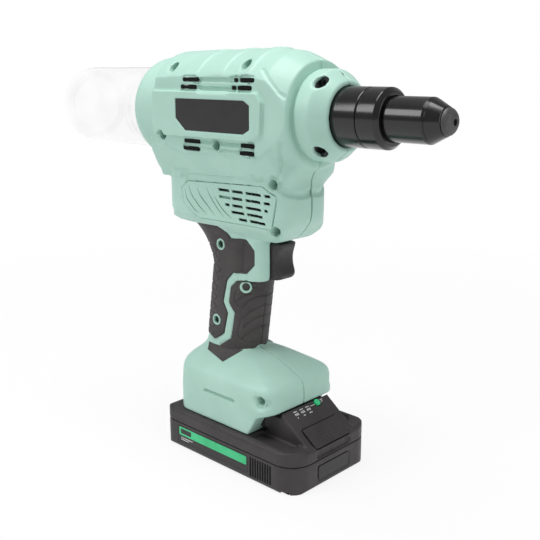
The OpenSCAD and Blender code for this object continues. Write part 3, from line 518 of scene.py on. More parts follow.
gripPattern = dict(
    outline=[(-9.8, -16.0, 111.4), (-11.1, -16.1, 104.7), (-7.4, -13.6, 96.7), (-10.4, -14.3, 82.9),
        (-8.4, -12.2, 77.3), (-5.3, -7.8, 76.0), (-3.9, -4.0, 76.0), (-3.4, 1.0, 76.0)],
    ribs=[[(-9.8, -15.6, 104.1), (-5.9, -13.7, 108.4), (-2.2, -10.5, 111.0)],
        [(-7.2, -13.8, 100.2), (-3.9, -11.4, 104.7), (-0.6, -7.1, 107.7), (0.9, 0.6, 108.0)],
        [(-6.5, -12.6, 94.2), (-3.3, -9.5, 98.4), (-0.6, -4.6, 100.6), (-0.2, 0.6, 101.6)],
        [(-7.4, -12.5, 86.4), (-4.4, -9.7, 90.7), (-1.6, -4.9, 93.5), (-1.3, 0.6, 94.1)],
        [(-8.7, -12.6, 78.6), (-5.7, -9.9, 82.9), (-2.5, -4.1, 86.0), (-2.7, 0.6, 86.1)]],
    ribDepth=0.75, ribHalf=1.0, lineDepth=0.55, lineHalf=0.8, reach=2.6, outside=3.0, upperAxis=-17.0,
    rear=dict(low=75.0, high=137.0, step=6.4, depth=0.6, half=0.75, reach=1.2, turns=(2, 14, 32), mids=(0.55, 0.5),
        rowTurn=4, rowDrop=0.15, rowCount=20))
latchLines = dict(places=(18.0, 20.6, 23.2, 25.8), reach=8.5, past=0.5, depth=0.22, half=0.5, faces=0.8,
    near=3.0)
slope = dict(start=(34.6, 43.0), along=(0.8, -0.6), out=(0.6, 0.8))


def slopePoint(along, y, up=0.0):
    return (slope["start"][0] + slope["along"][0] * along + slope["out"][0] * up, y,
            slope["start"][1] + slope["along"][1] * along + slope["out"][1] * up)


# each place is laid on the net's own skin before the groove is pressed
def onSkin(net, skin, runs, reach):
    points = net.at[skin] * np.array([1.0, 0.0, 1.0]) - np.abs(net.at[skin]) * np.array([0.0, 1.0, 0.0])
    out = []
    for line in runs:
        laid = []
        for place in line:
            gaps = ((points - place) ** 2).sum(axis=1)
            best = gaps.argmin()
            if gaps[best] < reach ** 2:
                laid.append(points[best])
        if laid:
            out.append(np.array(laid))
    return out


def press(net, lines, reach, cut, normals, skin, flat=2):
    runs = onSkin(net, skin, lines, reach)
    if runs:
        groove(net, runs, cut["depth"], cut["half"], normals, skin, flat)


# the points of the tool's flanks, by their lean and by how far they stand out
def flank(net, normals, look):
    return (np.abs(normals[:, 1]) > look["leans"]) & (np.abs(net.at[:, 1]) > look["out"])


def dressGrip(net):
    normals = outward(net)
    x, y, z = net.at.T
    look = gripPattern
    axis = np.array([np.where(z < handle["bend"][1], handleAxis(z), look["upperAxis"]), 0.0 * y, z]).T
    skin = ((net.at - axis) * normals).sum(axis=1) > look["outside"]
    lines = onSkin(net, skin, [run(look["outline"])], look["reach"])
    ribs = onSkin(net, skin, [run(r) for r in look["ribs"]], look["reach"])
    if lines:
        groove(net, lines, look["lineDepth"], look["lineHalf"], normals, skin)
    if ribs:
        groove(net, ribs, look["ribDepth"], look["ribHalf"], normals, skin)
    cut = look["rear"]
    rear = []
    place = cut["low"]
    near, edge, far = cut["turns"]
    nearMid, farMid = (share * cut["step"] for share in cut["mids"])
    while place < cut["high"]:
        top = place + cut["step"]
        row = [handlePoint(edge + cut["rowTurn"] * k, top - cut["rowDrop"] * k) for k in range(cut["rowCount"])]
        ends = handlePoint(edge, place), handlePoint(edge, top)
        rear.append(straight([ends[0], handlePoint(near, place + nearMid), ends[1]]))
        rear.append(straight(row))
        rear.append(straight([ends[0], handlePoint(far, place + farMid), ends[1]]))
        place = top
    press(net, rear, cut["reach"], cut, normals, skin)


footEase = dict(rounds=170, middle=(-8.0, 0.0, 46.0), share=0.6, slopes=[(2, 44.0, 52.0), (2, 78.0, 71.0)])


def easeFoot(net):
    normals = outward(net)
    skin = facing(net, normals, footEase["middle"]) & offSeam(net, normals)
    ease(net, window(net, footEase["share"], footEase["slopes"]), footEase["rounds"], skin, onSeam(net))


# motor panel: a thin mint plate in the pod's sunk field, with its air slots and the curved lines beside them, and
# near-black bars of painted shade under the slots
motorPanel = dict(
    mint, thick=1.0, slotHigh=1.7, slant=0.35, lineWide=0.75, edge=0.14, edgeSteps=2, edgeAngle=50.0,
    bends=[at + 0.5 for at in range(8, 30, 2)], shadeEnd=0.3, shadeDepth=1.5, shadeThick=0.25,
    outline=[(-51.0, 174.0), (-44.7, 178.5), (20.7, 181.0), (29.6, 175.6), (26.8, 156.8), (-35.7, 156.4),
        (-49.0, 164.0)],
    slots=[(-17.7, -7.8, 175.9), (-5.7, 3.8, 175.9), (6.1, 19.6, 175.9), (22.3, 26.4, 175.9),
        (-5.8, 3.3, 171.6), (6.1, 19.2, 171.6), (21.8, 26.2, 171.6),
        (-11.8, -7.7, 167.2), (-5.5, 3.6, 167.2), (6.2, 19.8, 167.2), (22.2, 24.8, 167.2),
        (-6.2, 4.9, 163.2), (7.2, 21.0, 163.2), (0.1, 7.3, 159.4), (9.7, 23.2, 159.4)],
    blind=[(-17.1, -6.9, 171.6)],
    lines=[[(-48.1, 173.5), (-46.4, 167.5), (-40.3, 161.8), (-34.8, 158.8)],
        [(-44.1, 176.4), (-41.9, 170.6), (-35.4, 164.3), (-28.5, 158.7)],
        [(-36.7, 176.1), (-33.8, 170.8), (-27.0, 164.0), (-20.6, 158.8)],
        [(-28.6, 176.4), (-25.8, 171.6), (-19.6, 164.8), (-12.9, 159.1)],
        [(-21.7, 171.8), (-16.8, 166.4), (-11.5, 162.1), (-5.8, 159.1)]],
    shadow=dict(mint, finish="shadowPlastic"))
podBand = dict(low=160.0, high=180.0, stops=np.arange(-56.0, 34.0, 1.0), near=0.8)


def slotOutline(x0, x1, z):
    half, slant = motorPanel["slotHigh"] / 2, motorPanel["slant"]
    return [(x0 - slant, z + half), (x1 - slant, z + half), (x1 + slant, z - half), (x0 + slant, z - half)]


def lineOutline(places):
    points = run([(x, 0.0, z) for x, z in places], 1.0)[:, [0, 2]]
    ahead = np.gradient(points, axis=0)
    ahead /= np.linalg.norm(ahead, axis=1, keepdims=True)
    aside = np.stack([-ahead[:, 1], ahead[:, 0]], axis=1) * motorPanel["lineWide"] / 2
    taper = np.minimum(1.0, np.linspace(0.15, 3.0, len(points)))
    taper = np.minimum(taper, taper[::-1])[:, None]
    return [tuple(v) for v in points + aside * taper] + [tuple(v) for v in (points - aside * taper)[::-1]]


# which points lie inside an outline grown a little from its middle
def within(points, outline, grow):
    outline = np.array(outline)
    middle = outline.mean(axis=0)
    away = outline - middle
    outline = middle + away * (1.0 + grow / np.linalg.norm(away, axis=1, keepdims=True))
    inside = np.zeros(len(points), dtype=bool)
    for (x1, z1), (x2, z2) in zip(outline, np.roll(outline, -1, axis=0)):
        crosses = (z1 > points[:, 1]) != (z2 > points[:, 1])
        inside ^= crosses & (points[:, 0] < (x2 - x1) * (points[:, 1] - z1) / (z2 - z1 + 1e-12) + x1)
    return inside


# how far the pod's side stands out, along the tool
def podSide(net):
    x, y, z = net.at.T
    pick = (z > podBand["low"]) & (z < podBand["high"])
    reach = [np.abs(y[pick & (np.abs(x - at) < podBand["near"])]).max() for at in podBand["stops"]]
    return lambda at: float(np.interp(at, podBand["stops"], reach))


def raised(bm, faces):
    grown = bmesh.ops.extrude_face_region(bm, geom=faces)
    return [g for g in grown["geom"] if isinstance(g, bmesh.types.BMVert)]


def layMotorPanel(net, side, tag):
    look = motorPanel
    reach = podSide(net)
    bm = bmesh.new()
    outlines = [look["outline"]] + [slotOutline(*v) for v in look["slots"] + look["blind"]]
    for outline in outlines + [lineOutline(v) for v in look["lines"]]:
        points = [bm.verts.new((x, 0.0, z)) for x, z in outline]
        for near, far in zip(points, points[1:] + points[:1]):
            bm.edges.new((near, far))
    bmesh.ops.triangle_fill(bm, use_beauty=True, edges=bm.edges[:], normal=(0.0, -1.0, 0.0))
    for at in look["bends"]:
        bmesh.ops.bisect_plane(bm, geom=bm.verts[:] + bm.edges[:] + bm.faces[:], dist=1e-5, plane_co=(at, 0, 0),
                               plane_no=(1, 0, 0))
    tops = set(raised(bm, bm.faces[:]))
    for point in bm.verts:
        out = reach(point.co.x) - (0.0 if point in tops else look["thick"])
        point.co = Vector((point.co.x, side * out, point.co.z)) * mm
    piece = addPiece("motor_panel_" + tag, meshOf(bm, "motor_panel_" + tag, True), look)
    roundEdges(piece, look["edge"], look["edgeSteps"], look["edgeAngle"])
    # painted shade: near-black bars below the panel's air slots, where only shade falls
    bm = bmesh.new()
    for x0, x1, z in look["slots"]:
        outline = slotOutline(x0 - look["shadeEnd"], x1 + look["shadeEnd"], z)
        flat = [Vector((x, side * (reach(x) - look["shadeDepth"]), z)) * mm for x, z in outline]
        face = bm.faces.new([bm.verts.new(v) for v in flat])
        lift = Vector((0.0, side * look["shadeThick"] * mm, 0.0))
        bmesh.ops.translate(bm, verts=raised(bm, [face]), vec=lift)
    addPiece("vent_shadow_" + tag, meshOf(bm, "vent_shadow_" + tag, True), look["shadow"])


# the pod's front is a soft dome: its skin swells between the screws and its edges are eased
podFront = dict(
    swell=3.4, mid=170.0, tall=24.0, wide=23.0, middle=(0.0, 0.0, 168.0), behind=24.0, below=190.0, leans=(0.05, 0.5),
    screws=[(27.9, 183.0), (27.6, 155.2)], screwReach=(3.2, 6.0), screwOut=8.0, share=0.6, rounds=60,
    slopes=[(0, 6.0, 16.0), (2, 144.0, 150.0), (2, 186.0, 182.0)])
podNeck = dict(middle=(0.0, 0.0, 206.0), share=0.6, rounds=40, barrel=222.0, barrelReach=(27.0, 29.0),
    slopes=[(0, 16.0, 24.0), (2, 181.0, 184.0), (2, 214.0, 206.0)])
panelField = dict(leans=0.5, out=21.0, grow=0.4, depth=0.9, slotDepth=0.9,
    slopes=[(0, -19.5, -18.3), (0, 28.6, 27.4), (2, 157.6, 158.4), (2, 178.0, 177.2)])
podLines = dict(
    reach=6.0, seamFade=(0.6, 5.0),
    cuts=[dict(depth=1.1, half=1.7, runs=[[(-50.5, -27.0, 181.6), (-41.3, -27.0, 184.2)],
                [(-41.3, -27.0, 184.2), (20.0, -27.0, 185.6)]]),
        dict(depth=1.5, half=2.6, runs=[[(31.0, -22.0, 181.0), (35.0, -14.0, 177.4), (38.0, -7.0, 176.4),
                    (38.6, 0.6, 177.6)]]),
        dict(depth=1.5, half=3.3, runs=[[(28.6, -28.0, 182.8), (33.0, -23.0, 181.4)],
                [(28.2, -28.0, 155.0), (32.0, -23.0, 153.6)]])])


# the skin round the pod's front screws keeps its place
def spareScrews(net, share):
    x, y, z = net.at.T
    for sx, sz in podFront["screws"]:
        away = between(np.hypot(x - sx, z - sz), *podFront["screwReach"])
        share *= np.where(np.abs(y) > podFront["screwOut"], away, 1.0)
    return share


def roundPod(net):
    normals = outward(net)
    x, y, z = net.at.T
    look = podFront
    skin = facing(net, normals, look["middle"]) & offSeam(net, normals)
    rise = np.clip(1.0 - ((z - look["mid"]) / look["tall"]) ** 2, 0.0, 1.0)
    rise = rise * np.clip(1.0 - (y / look["wide"]) ** 2, 0.0, 1.0)
    front = skin & (x > look["behind"]) & (z < look["below"])
    net.at[:, 0] += np.where(front, look["swell"] * rise * between(normals[:, 0], *look["leans"]), 0.0)
    ease(net, spareScrews(net, window(net, look["share"], look["slopes"])), look["rounds"], skin, onSeam(net))
    above = facing(net, normals, podNeck["middle"]) & offSeam(net, normals)
    share = window(net, podNeck["share"], podNeck["slopes"])
    share = share * between(np.hypot(y, z - podNeck["barrel"]), *podNeck["barrelReach"])
    ease(net, spareScrews(net, share), podNeck["rounds"], above, onSeam(net))
    field = flank(net, normals, panelField) & skin
    sink = panelField["depth"] + panelField["slotDepth"] * window(net, 1.0, panelField["slopes"])
    deep = np.where(within(net.at[:, [0, 2]], motorPanel["outline"], panelField["grow"]), sink, 0.0)
    net.at[:, 1] -= np.where(field, np.sign(y) * deep, 0.0)
    for cut in podLines["cuts"]:
        way = outward(net)
        way[:, 1] *= between(np.abs(net.at[:, 1]), *podLines["seamFade"])
        press(net, [run(r) for r in cut["runs"]], podLines["reach"], cut, way, skin)


triggerForm = dict(hollow=1.7, mid=133.5, tall=9.5, low=126.0, end=121.0, toe=2.6, front=(13.0, 17.0),
    share=0.5, easeFront=(12.4, 15.0), rounds=12)


def dressTrigger(net):
    look = triggerForm
    x, y, z = net.at.T
    ahead = between(x, *look["front"])
    dish = np.clip(1.0 - ((z - look["mid"]) / look["tall"]) ** 2, 0.0, 1.0)
    toe = np.clip((look["low"] - z) / (look["low"] - look["end"]), 0.0, 1.0) ** 2
    net.at[:, 0] -= ahead * (look["hollow"] * dish + look["toe"] * toe)
    ease(net, look["share"] * between(x, *look["easeFront"]), look["rounds"])


def dressLatch(net):
    look = latchLines
    normals = outward(net)
    skin = normals @ np.array([slope["out"][0], 0.0, slope["out"][1]]) > look["faces"]
    lines = [straight([slopePoint(a, -look["reach"]), slopePoint(a, look["past"])]) for a in look["places"]]
    press(net, lines, look["near"], look, normals, skin)


# rubber lying on the mint skin: the tongue that runs down onto the foot, and the flag behind the trigger
rubberPatches = {
    "grip_tongue": dict(rubber, proud=0.55, fade=(69.0, 73.0), sink=0.3, faces=(0.25, 69.0), thick=0.9,
        box=((-50.0, 0.0), (60.0, 74.0)), middle=(-25.0, 0.0, 40.0), around=(-25.8, 24.0, 34.0, 0.45),
        cuts=[((-39.5, 76.0), (-33.6, 67.9)), ((-32.6, 67.7), (-15.2, 65.0)),
            ((-15.2, 65.0), (-9.1, 70.6)), ((0.0, 71.6), (-9.0, 71.6))]),
    "grip_flag": dict(rubber, proud=0.5, flank=(0.3, 11.0), faces=(-2.0, 0.0), thick=0.9,
        box=((-18.0, 8.0), (121.0, 148.0)), middle=(-12.0, 0.0, 134.0), around=(-12.0, 30.0, 16.0, 0.7),
        cuts=[((-10.8, 123.0), (-0.5, 124.2)), ((-0.5, 124.2), (5.8, 130.9)),
            ((5.8, 130.9), (5.9, 139.3)), ((5.9, 139.3), (-2.5, 145.3)),
            ((-2.5, 145.3), (-12.8, 144.4)), ((-12.8, 144.4), (-10.8, 123.0))]),
}


def layRubber(net, name, look):
    normals = outward(net)
    middle = net.at[net.quads].mean(axis=1)
    lean = normals[net.quads].mean(axis=1)
    x, y, z = middle.T
    (x0, x1), (z0, z1) = look["box"]
    pick = (x > x0) & (x < x1) & (z > z0) & (z < z1) & ((lean[:, 2] > look["faces"][0]) | (z > look["faces"][1]))
    pick &= (lean * (middle - np.array(look["middle"]))).sum(axis=1) > 0.0
    cx, rx, ry, least = look["around"]
    pick &= np.hypot((x - cx) / rx, y / ry) > least
    if "flank" in look:
        pick &= (np.abs(lean[:, 1]) > look["flank"][0]) & (np.abs(y) > look["flank"][1])
    quads = net.quads[pick]
    used, turned = np.unique(quads.reshape(-1), return_inverse=True)
    proud = np.full(len(used), look["proud"])
    if "fade" in look:
        proud -= look["sink"] * between(net.at[used][:, 2], *look["fade"])
    places = net.at[used] + normals[used] * proud[:, None]
    bm = bmesh.new()
    points = [bm.verts.new(Vector(p) * mm) for p in places]
    for corners in turned.reshape(-1, 4):
        bm.faces.new([points[k] for k in corners])
    for (xa, za), (xb, zb) in look["cuts"]:
        aside = Vector((zb - za, 0.0, -(xb - xa)))
        bmesh.ops.bisect_plane(bm, geom=bm.verts[:] + bm.edges[:] + bm.faces[:], dist=1e-6,
                               plane_co=Vector((xa, 0.0, za)) * mm, plane_no=aside, clear_outer=True)
    for face in bm.faces:
        face.smooth = True
    thicken(addPiece(name, meshOf(bm, name), look), look["thick"])


# flat work: prints, strips and thin plates cut from an outline and raised a little from their seat
def bar(u0, v0, u1, v1, r, steps=4):
    out = []
    for cu, cv, start in ((u1 - r, v1 - r, 0), (u0 + r, v1 - r, 90), (u0 + r, v0 + r, 180), (u1 - r, v0 + r, 270)):
        for k in range(steps + 1):
            turn = math.radians(start + 90 * k / steps)
            out.append((cu + r * math.cos(turn), cv + r * math.sin(turn)))
    return out


def flatWork(name, outlines, seat, thick, look):
    bm = bmesh.new()
    lift = (Vector(seat(0.0, 0.0, thick)) - Vector(seat(0.0, 0.0, 0.0))) * mm
    for outline in outlines:
        face = bm.faces.new([bm.verts.new(Vector(seat(u, v, 0.0)) * mm) for u, v in outline])
        bmesh.ops.translate(bm, verts=raised(bm, [face]), vec=lift)
    return addPiece(name, meshOf(bm, name, True), look)


def sideSeat(side, face):
    return lambda u, v, w: (u, side * (face + w), v)


batteryPrint = dict(pack, finish="greenPlastic", face=37.3, thick=0.17, strip=(-44.3, 9.3, 19.5, 15.0, 0.7),
    window=(-42.6, 10.6, -32.4, 14.0, 0.5), windowProud=0.05,
    rules=[(-42.6, 7.3, -31.0, 7.8, 0.2), (-42.6, 6.0, -35.0, 6.5, 0.2)])
for side, tag in sides:
    look = batteryPrint
    seat = sideSeat(side, look["face"])
    flatWork("battery_strip_" + tag, [bar(*look["strip"])], seat, look["thick"], look)
    flatWork("battery_window_" + tag, [bar(*look["window"])], seat, look["thick"] + look["windowProud"],
             dict(look, finish="panelPlastic"))
    flatWork("battery_rules_" + tag, [bar(*rule) for rule in look["rules"]], seat, look["thick"],
             dict(look, finish="whitePrint"))

# painted shade: near-black bars in the gaps between the pack's side ribs, and a near-black block in the notch at its
# foot, where only shade falls
packShade = dict(pack, finish="shadowPlastic", count=9, first=22.6, step=2.1, wide=1.1, low=3.3, high=15.9, corner=0.2,
    face=37.0, thick=0.5, notch=(47.3, 0.35, 52.7, 1.7, 0.2), notchFace=24.0, notchDeep=10.5)
packFront = dict(pack, finish="panelPlastic", face=58.4, thick=0.5, plate=(-14.4, 4.6, 14.4, 13.4, 1.4),
    line=[(60.0, -18.2, 16.6), (60.0, -18.2, 3.4), (60.0, -16.6, 1.9), (60.0, 0.5, 1.9)],
    depth=0.8, half=0.9, leans=0.6)
for side, tag in sides:
    look = packShade
    starts = [look["first"] + look["step"] * k for k in range(look["count"])]
    # these bars are painted shade in the rib gaps, not ribs
    ribs = [bar(at, look["low"], at + look["wide"], look["high"], look["corner"]) for at in starts]
    flatWork("rib_gap_shade_" + tag, ribs, sideSeat(side, look["face"]), look["thick"], look)
    flatWork("notch_shade_" + tag, [bar(*look["notch"])], sideSeat(side, look["notchFace"]), look["notchDeep"], look)
seat = lambda u, v, w: (packFront["face"] + w, u, v)
flatWork("pack_plate", [bar(*packFront["plate"])], seat, packFront["thick"], packFront)

# plain bars beside the gauge: three groups with one, two and three pips, then three bars more
gaugeMarks = dict(pack, finish="whitePrint", groups=(-11.4, -5.9, -0.4), thick=0.12, corner=0.2,
    group=[(2.3, -1.5, 2.8, 1.5), (3.7, -1.5, 5.3, -0.9), (3.7, -0.3, 5.3, 0.3), (3.7, 0.9, 5.3, 1.5)],
    pip=(6.5, -1.2, 7.3, -0.65), pipStep=0.95,
    others=[(3.0, 2.2, 3.3, 6.6, 0.1), (1.6, 12.6, 2.1, 15.0, 0.2), (2.8, 12.6, 3.3, 14.2, 0.2)])
marks = []
for count, y in enumerate(gaugeMarks["groups"]):
    for u0, v0, u1, v1 in gaugeMarks["group"]:
        marks.append(bar(u0, y + v0, u1, y + v1, gaugeMarks["corner"]))
    u0, v0, u1, v1 = gaugeMarks["pip"]
    for k in range(count + 1):
        on = gaugeMarks["pipStep"] * k
        marks.append(bar(u0, y + v0 + on, u1, y + v1 + on, gaugeMarks["corner"]))
marks += [bar(*other) for other in gaugeMarks["others"]]
flatWork("gauge_marks", marks, slopePoint, gaugeMarks["thick"], gaugeMarks)
print("flat work laid")

# the pod's heel closes the skin between the pod and the rubber's upper end
podHeel = dict(mint, half=15.4, clear=0.05, edge=1.0, edgeSteps=3, edgeAngle=50.0,
    outline=[(-66.6, 160.6), (-67.9, 159.2), (-67.9, 154.6), (-66.6, 152.8), (-64.0, 151.4),
        (-58.0, 150.8), (-54.0, 151.2), (-52.5, 155.6), (-62.4, 155.9), (-62.8, 160.6)])
for start, tag in ((-podHeel["half"], "right"), (podHeel["clear"], "left")):
    seat = lambda u, v, w, start=start: (u, start + w, v)
    heel = flatWork("pod_heel_" + tag, [podHeel["outline"]], seat, podHeel["half"] - podHeel["clear"], podHeel)
    roundEdges(heel, podHeel["edge"], podHeel["edgeSteps"], podHeel["edgeAngle"])

# mint rings round the sunk screws of the handle, standing a little out of the rubber
screwRings = dict(mint, side=-1.0, places=[(-22.6, 139.8), (-27.8, 88.8)], corners=56,
    profile=[(2.5, -3.0), (2.55, 0.15), (2.8, 0.4), (3.4, 0.4), (3.7, 0.1), (3.7, -1.5)])


def ringPiece(name, look, placeOf):
    bm = bmesh.new()
    turns = [2 * math.pi * k / look["corners"] for k in range(look["corners"])]
    loops = [[bm.verts.new(Vector(placeOf(r * math.cos(turn), r * math.sin(turn), out)) * mm) for turn in turns]
             for r, out in look["profile"]]
    for near, far in zip(loops, loops[1:] + loops[:1]):
        for k in range(len(near)):
            n = (k + 1) % len(near)
            bm.faces.new((near[k], near[n], far[n], far[k])).smooth = True
    addPiece(name, meshOf(bm, name, True), look)


def handleSeat(x, z, side):
    return lambda a, b, out: (x + a, side * (handleSide(x + a, z + b) + handle["rubber"] + out), z + b)


for k, (x, z) in enumerate(screwRings["places"]):
    ringPiece("screw_ring_right_%d" % k, screwRings, handleSeat(x, z, screwRings["side"]))

# rubber over the turn of the handle, round the front screw
gripTurn = dict(rubber, heights=(110.4, 118.45, 16), turns=(24.0, 89.5, 26), ahead=0.06, wider=1.006, thick=0.6)
bm = bmesh.new()
rows = []
for z in np.linspace(*gripTurn["heights"]):
    row = []
    for turn in np.linspace(*gripTurn["turns"]):
        x, y, height = handlePoint(-180.0 + float(turn), float(z))
        x += 2 * handle["flat"] / leanCos
        row.append(bm.verts.new(Vector((x + gripTurn["ahead"], -abs(y) * gripTurn["wider"], height)) * mm))
    rows.append(row)
for low, high in zip(rows, rows[1:]):
    for k in range(len(low) - 1):
        bm.faces.new((low[k], low[k + 1], high[k + 1], high[k])).smooth = True
thicken(addPiece("grip_turn_right", meshOf(bm, "grip_turn_right", True), gripTurn), gripTurn["thick"])

# the front screw sits on that turn, so its ring faces half forward
frontRing = dict(mint, at=(-3.4, -13.6, 114.6), faces=(0.62, -0.78, 0.05), corners=56,
    profile=[(2.3, -2.2), (2.6, 0.5), (2.9, 0.8), (3.6, 0.8), (3.9, 0.4), (4.0, -2.0)])
turnTo = Vector(frontRing["faces"]).to_track_quat("Z", "Y").to_matrix()
seat = lambda a, b, out: Vector(frontRing["at"]) + turnTo @ Vector((a, b, out))
ringPiece("screw_ring_right_front", frontRing, seat)
print("screw rings laid")

footSlot = dict(run=[(-21.5, -34.0, 46.3), (4.6, -34.0, 46.3)], depth=1.8, half=1.0, leans=0.5, out=31.0, below=52.0)
footScoop = dict(run=[(26.2, -33.0, 51.2), (32.0, -31.0, 50.0)], depth=1.6, half=3.6, leans=0.25, out=24.0,
    below=60.0, behind=18.0, reach=6.0)
ventSlots = dict(face=32.4, depth=1.4, half=1.25, leans=0.5, out=26.0, reach=3.0, flat=6,
    runs=[[(-38.0, 241.5), (20.2, 241.5)], [(-40.0, 237.1), (18.2, 237.1)],
        [(-38.0, 204.8), (20.2, 204.8)], [(-39.0, 200.5), (19.2, 200.5)]])

# painted shade: near-black plates behind the open slots, where only shade falls; the lower rows have no middle slot
slotShade = dict(mint, finish="shadowPlastic", under=2.2, half=1.05, corner=0.2, thick=0.3,
    rows=[(241.5, 0.0, (0, 1, 2)), (237.1, -2.0, (0, 1, 2)), (204.8, 0.0, (0, 2)),
        (200.5, -1.0, (0, 2))],
    spans=[(-39.2, -25.2), (5.7, 8.5), (10.5, 21.2)])
for side, tag in sides:
    look, slotShades = slotShade, []
    for z, shift, picks in look["rows"]:
        for a, b in (look["spans"][k] for k in picks):
            slotShades.append(bar(a + shift, z - look["half"], b + shift, z + look["half"], look["corner"]))
    flatWork("slot_shade_" + tag, slotShades, sideSeat(side, ventSlots["face"] - look["under"]), look["thick"], look)

bandEase = dict(share=0.55, out=20.0, rounds=40, middle=(0.0, 0.0, 222.0),
    slopes=[(0, -24.6, -22.6), (0, 3.2, 1.2), (2, 232.0, 235.0), (2, 247.0, 244.0)])
collarHoles = dict(places=[(56.9, 240.6), (56.9, 203.4), (25.6, 51.4), (-54.0, 248.2), (10.0, 249.6)],
    share=0.5, reach=5.4, edge=1.0, out=12.0, rounds=7)
shoulder = dict(
    middle=(0.0, 0.0, 212.0), out=10.0, above=182.0, reach=8.0,
    cuts=[dict(depth=0.7, half=1.5, run=[(24.5, -27.0, 248.0), (28.5, -29.0, 245.0), (34.0, -30.0, 240.4),
                (39.5, -30.0, 235.2), (43.5, -29.0, 232.6)]),
        dict(depth=0.9, half=1.6, run=[(40.0, -28.0, 208.0), (36.0, -24.0, 205.0), (35.4, -23.0, 198.4),
                (35.0, -23.0, 192.7), (33.0, -22.0, 187.5)]),
        dict(depth=0.6, half=1.5, run=[(-55.4, -31.0, 201.4), (-40.6, -32.0, 193.2), (-32.0, -32.0, 194.6),
                (25.1, -32.0, 196.8), (33.0, -29.0, 203.0)])])


def dressBarrel(net):
    x, y, z = net.at.T
    normals = outward(net)
    skin = flank(net, normals, ventSlots)
    share = window(net, bandEase["share"], bandEase["slopes"]) * (np.abs(y) > bandEase["out"])
    ease(net, share, bandEase["rounds"], facing(net, normals, bandEase["middle"]))
    normals = outward(net)
    lines = [straight([(u, -ventSlots["face"], v) for u, v in r]) for r in ventSlots["runs"]]
    press(net, lines, ventSlots["reach"], ventSlots, normals, skin, ventSlots["flat"])
    for sx, sz in collarHoles["places"]:
        near = between(np.hypot(x - sx, z - sz), collarHoles["reach"], collarHoles["reach"] - collarHoles["edge"])
        ease(net, collarHoles["share"] * near * (np.abs(y) > collarHoles["out"]), collarHoles["rounds"])
    skin = facing(net, normals, shoulder["middle"]) & (np.abs(y) > shoulder["out"]) & (z > shoulder["above"])
    for cut in shoulder["cuts"]:
        press(net, [straight(cut["run"])], shoulder["reach"], cut, normals, skin)
    low = flank(net, normals, footSlot) & (z < footSlot["below"])
    press(net, [straight(footSlot["run"])], ventSlots["reach"], footSlot, normals, low, ventSlots["flat"])
    corner = flank(net, normals, footScoop) & (z < footScoop["below"]) & (x > footScoop["behind"])
    press(net, [run(footScoop["run"])], footScoop["reach"], footScoop, normals, corner)


for node, look in remade.items():
    net = evenNet(node, look["step"])
    ease(net, np.full(len(net.at), 0.5), look["ease"])
    if node.startswith("housing"):
        easeFoot(net)
        side, tag = sides[0] if node == "housing_right" else sides[1]
        layMotorPanel(net, side, tag)
        roundPod(net)
        dressBarrel(net)
        for name, patch in rubberPatches.items():
            layRubber(net, name + "_" + tag, patch)
    if node.startswith("grip"):
        dressGrip(net)
    if node == "latch_button":
        dressLatch(net)
    if node == "trigger":
        dressTrigger(net)
    if node == "battery_lower":
        normals = outward(net)
        groove(net, [straight(packFront["line"])], packFront["depth"], packFront["half"], normals,
               normals[:, 0] > packFront["leans"])
    layNet(net, node, look)
print("remade skins laid:", len(remade))


# studio
studio = dict(
    eye=(344.65, -355.32, 247.78), turn=43.35, dip=13.91, focal=804.0, centre=(275.58, 267.75), frameSide=540.0,
    floorSide=6.0, white=1.0, fill=0.37, key=4.2, side=2.4, top=7.3)

eye = bpy.data.cameras.new("photoEye")
eye.sensor_fit = "HORIZONTAL"
eye.sensor_width = 36.0
eye.lens = studio["focal"] * 36.0 / studio["frameSide"]
eye.shift_x = (studio["frameSide"] / 2 - studio["centre"][0]) / studio["frameSide"]
eye.shift_y = (studio["centre"][1] - studio["frameSide"] / 2) / studio["frameSide"]
eye.clip_start = 0.01
eye.clip_end = 50.0
camera = bpy.data.objects.new("photoEye", eye)
camera.location = Vector(studio["eye"]) * mm
camera.rotation_euler = (math.radians(90.0 - studio["dip"]), 0.0, math.radians(studio["turn"]))
scene.collection.objects.link(camera)
scene.camera = camera

bm = bmesh.new()
bmesh.ops.create_grid(bm, x_segments=2, y_segments=2, size=studio["floorSide"])
floorMesh = meshOf(bm, "studioFloor")
studioFloor = bpy.data.objects.new("studioFloor", floorMesh)
scene.collection.objects.link(studioFloor)

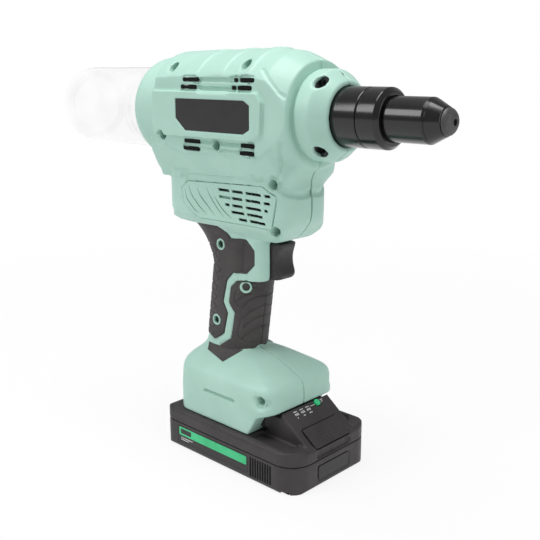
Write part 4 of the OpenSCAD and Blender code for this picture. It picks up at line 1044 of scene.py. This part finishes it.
# the floor is paper white to the eye and keeps a faint share of the shadow
floorPaper = bpy.data.materials.new("floorPaper")
floorPaper.use_nodes = True
tree = floorPaper.node_tree
tree.nodes.clear()
white = (1.0, 1.0, 1.0, 1.0)
out = addNode(tree, "OutputMaterial")
paper = addNode(tree, "BsdfDiffuse", {"Color": (0.86, 0.86, 0.86, 1.0)})
glow = addNode(tree, "Emission", {"Color": white, "Strength": studio["white"]})
path = addNode(tree, "LightPath")
seen = addNode(tree, "Math", operation="MAXIMUM")
seenToo = addNode(tree, "Math", operation="MAXIMUM")
share = addNode(tree, "Math", operation="MULTIPLY")
place = addNode(tree, "TexCoord")
reach = addNode(tree, "VectorMath", operation="LENGTH")
fade = addNode(tree, "MapRange", {"From Min": 0.12, "From Max": 0.75, "To Min": 0.86, "To Max": 1.0})
blend = addNode(tree, "MixShader")
for source, target in (
        (place.outputs["Object"], reach.inputs[0]), (reach.outputs["Value"], fade.inputs["Value"]),
        (fade.outputs["Result"], share.inputs[1]), (path.outputs["Is Camera Ray"], seen.inputs[0]),
        (path.outputs["Is Glossy Ray"], seen.inputs[1]), (seen.outputs[0], seenToo.inputs[0]),
        (path.outputs["Is Transmission Ray"], seenToo.inputs[1]), (seenToo.outputs[0], share.inputs[0]),
        (share.outputs[0], blend.inputs["Fac"]), (paper.outputs["BSDF"], blend.inputs[1]),
        (glow.outputs["Emission"], blend.inputs[2]), (blend.outputs["Shader"], out.inputs["Surface"])):
    tree.links.new(source, target)
floorMesh.materials.append(floorPaper)

room = bpy.data.worlds.new("room")
room.use_nodes = True
scene.world = room
tree = room.node_tree
tree.nodes.clear()
out = addNode(tree, "OutputWorld")
shine = addNode(tree, "Background", {"Color": white, "Strength": studio["fill"]})
back = addNode(tree, "Background", {"Color": white, "Strength": studio["white"]})
path = addNode(tree, "LightPath")
seen = addNode(tree, "Math", operation="MAXIMUM")
blend = addNode(tree, "MixShader")
for source, target in (
        (path.outputs["Is Camera Ray"], seen.inputs[0]), (path.outputs["Is Transmission Ray"], seen.inputs[1]),
        (seen.outputs[0], blend.inputs["Fac"]), (shine.outputs["Background"], blend.inputs[1]),
        (back.outputs["Background"], blend.inputs[2]), (blend.outputs["Shader"], out.inputs["Surface"])):
    tree.links.new(source, target)


def softbox(name, at, aim, size, power):
    lamp = bpy.data.lights.new(name, "AREA")
    lamp.shape = "RECTANGLE"
    lamp.size, lamp.size_y = size
    lamp.energy = power
    box = bpy.data.objects.new(name, lamp)
    box.location = Vector(at)
    box.rotation_euler = (Vector(aim) - Vector(at)).to_track_quat("-Z", "Y").to_euler()
    scene.collection.objects.link(box)


aim = (0.0, 0.0, 0.13)
softbox("keyBox", (-0.5, -0.85, 0.85), aim, (0.5, 0.5), studio["key"])
softbox("sideBox", (0.95, 0.1, 0.55), aim, (0.6, 0.8), studio["side"])
softbox("topBox", (0.0, -0.1, 1.1), aim, (0.6, 0.6), studio["top"])
print("studio set")
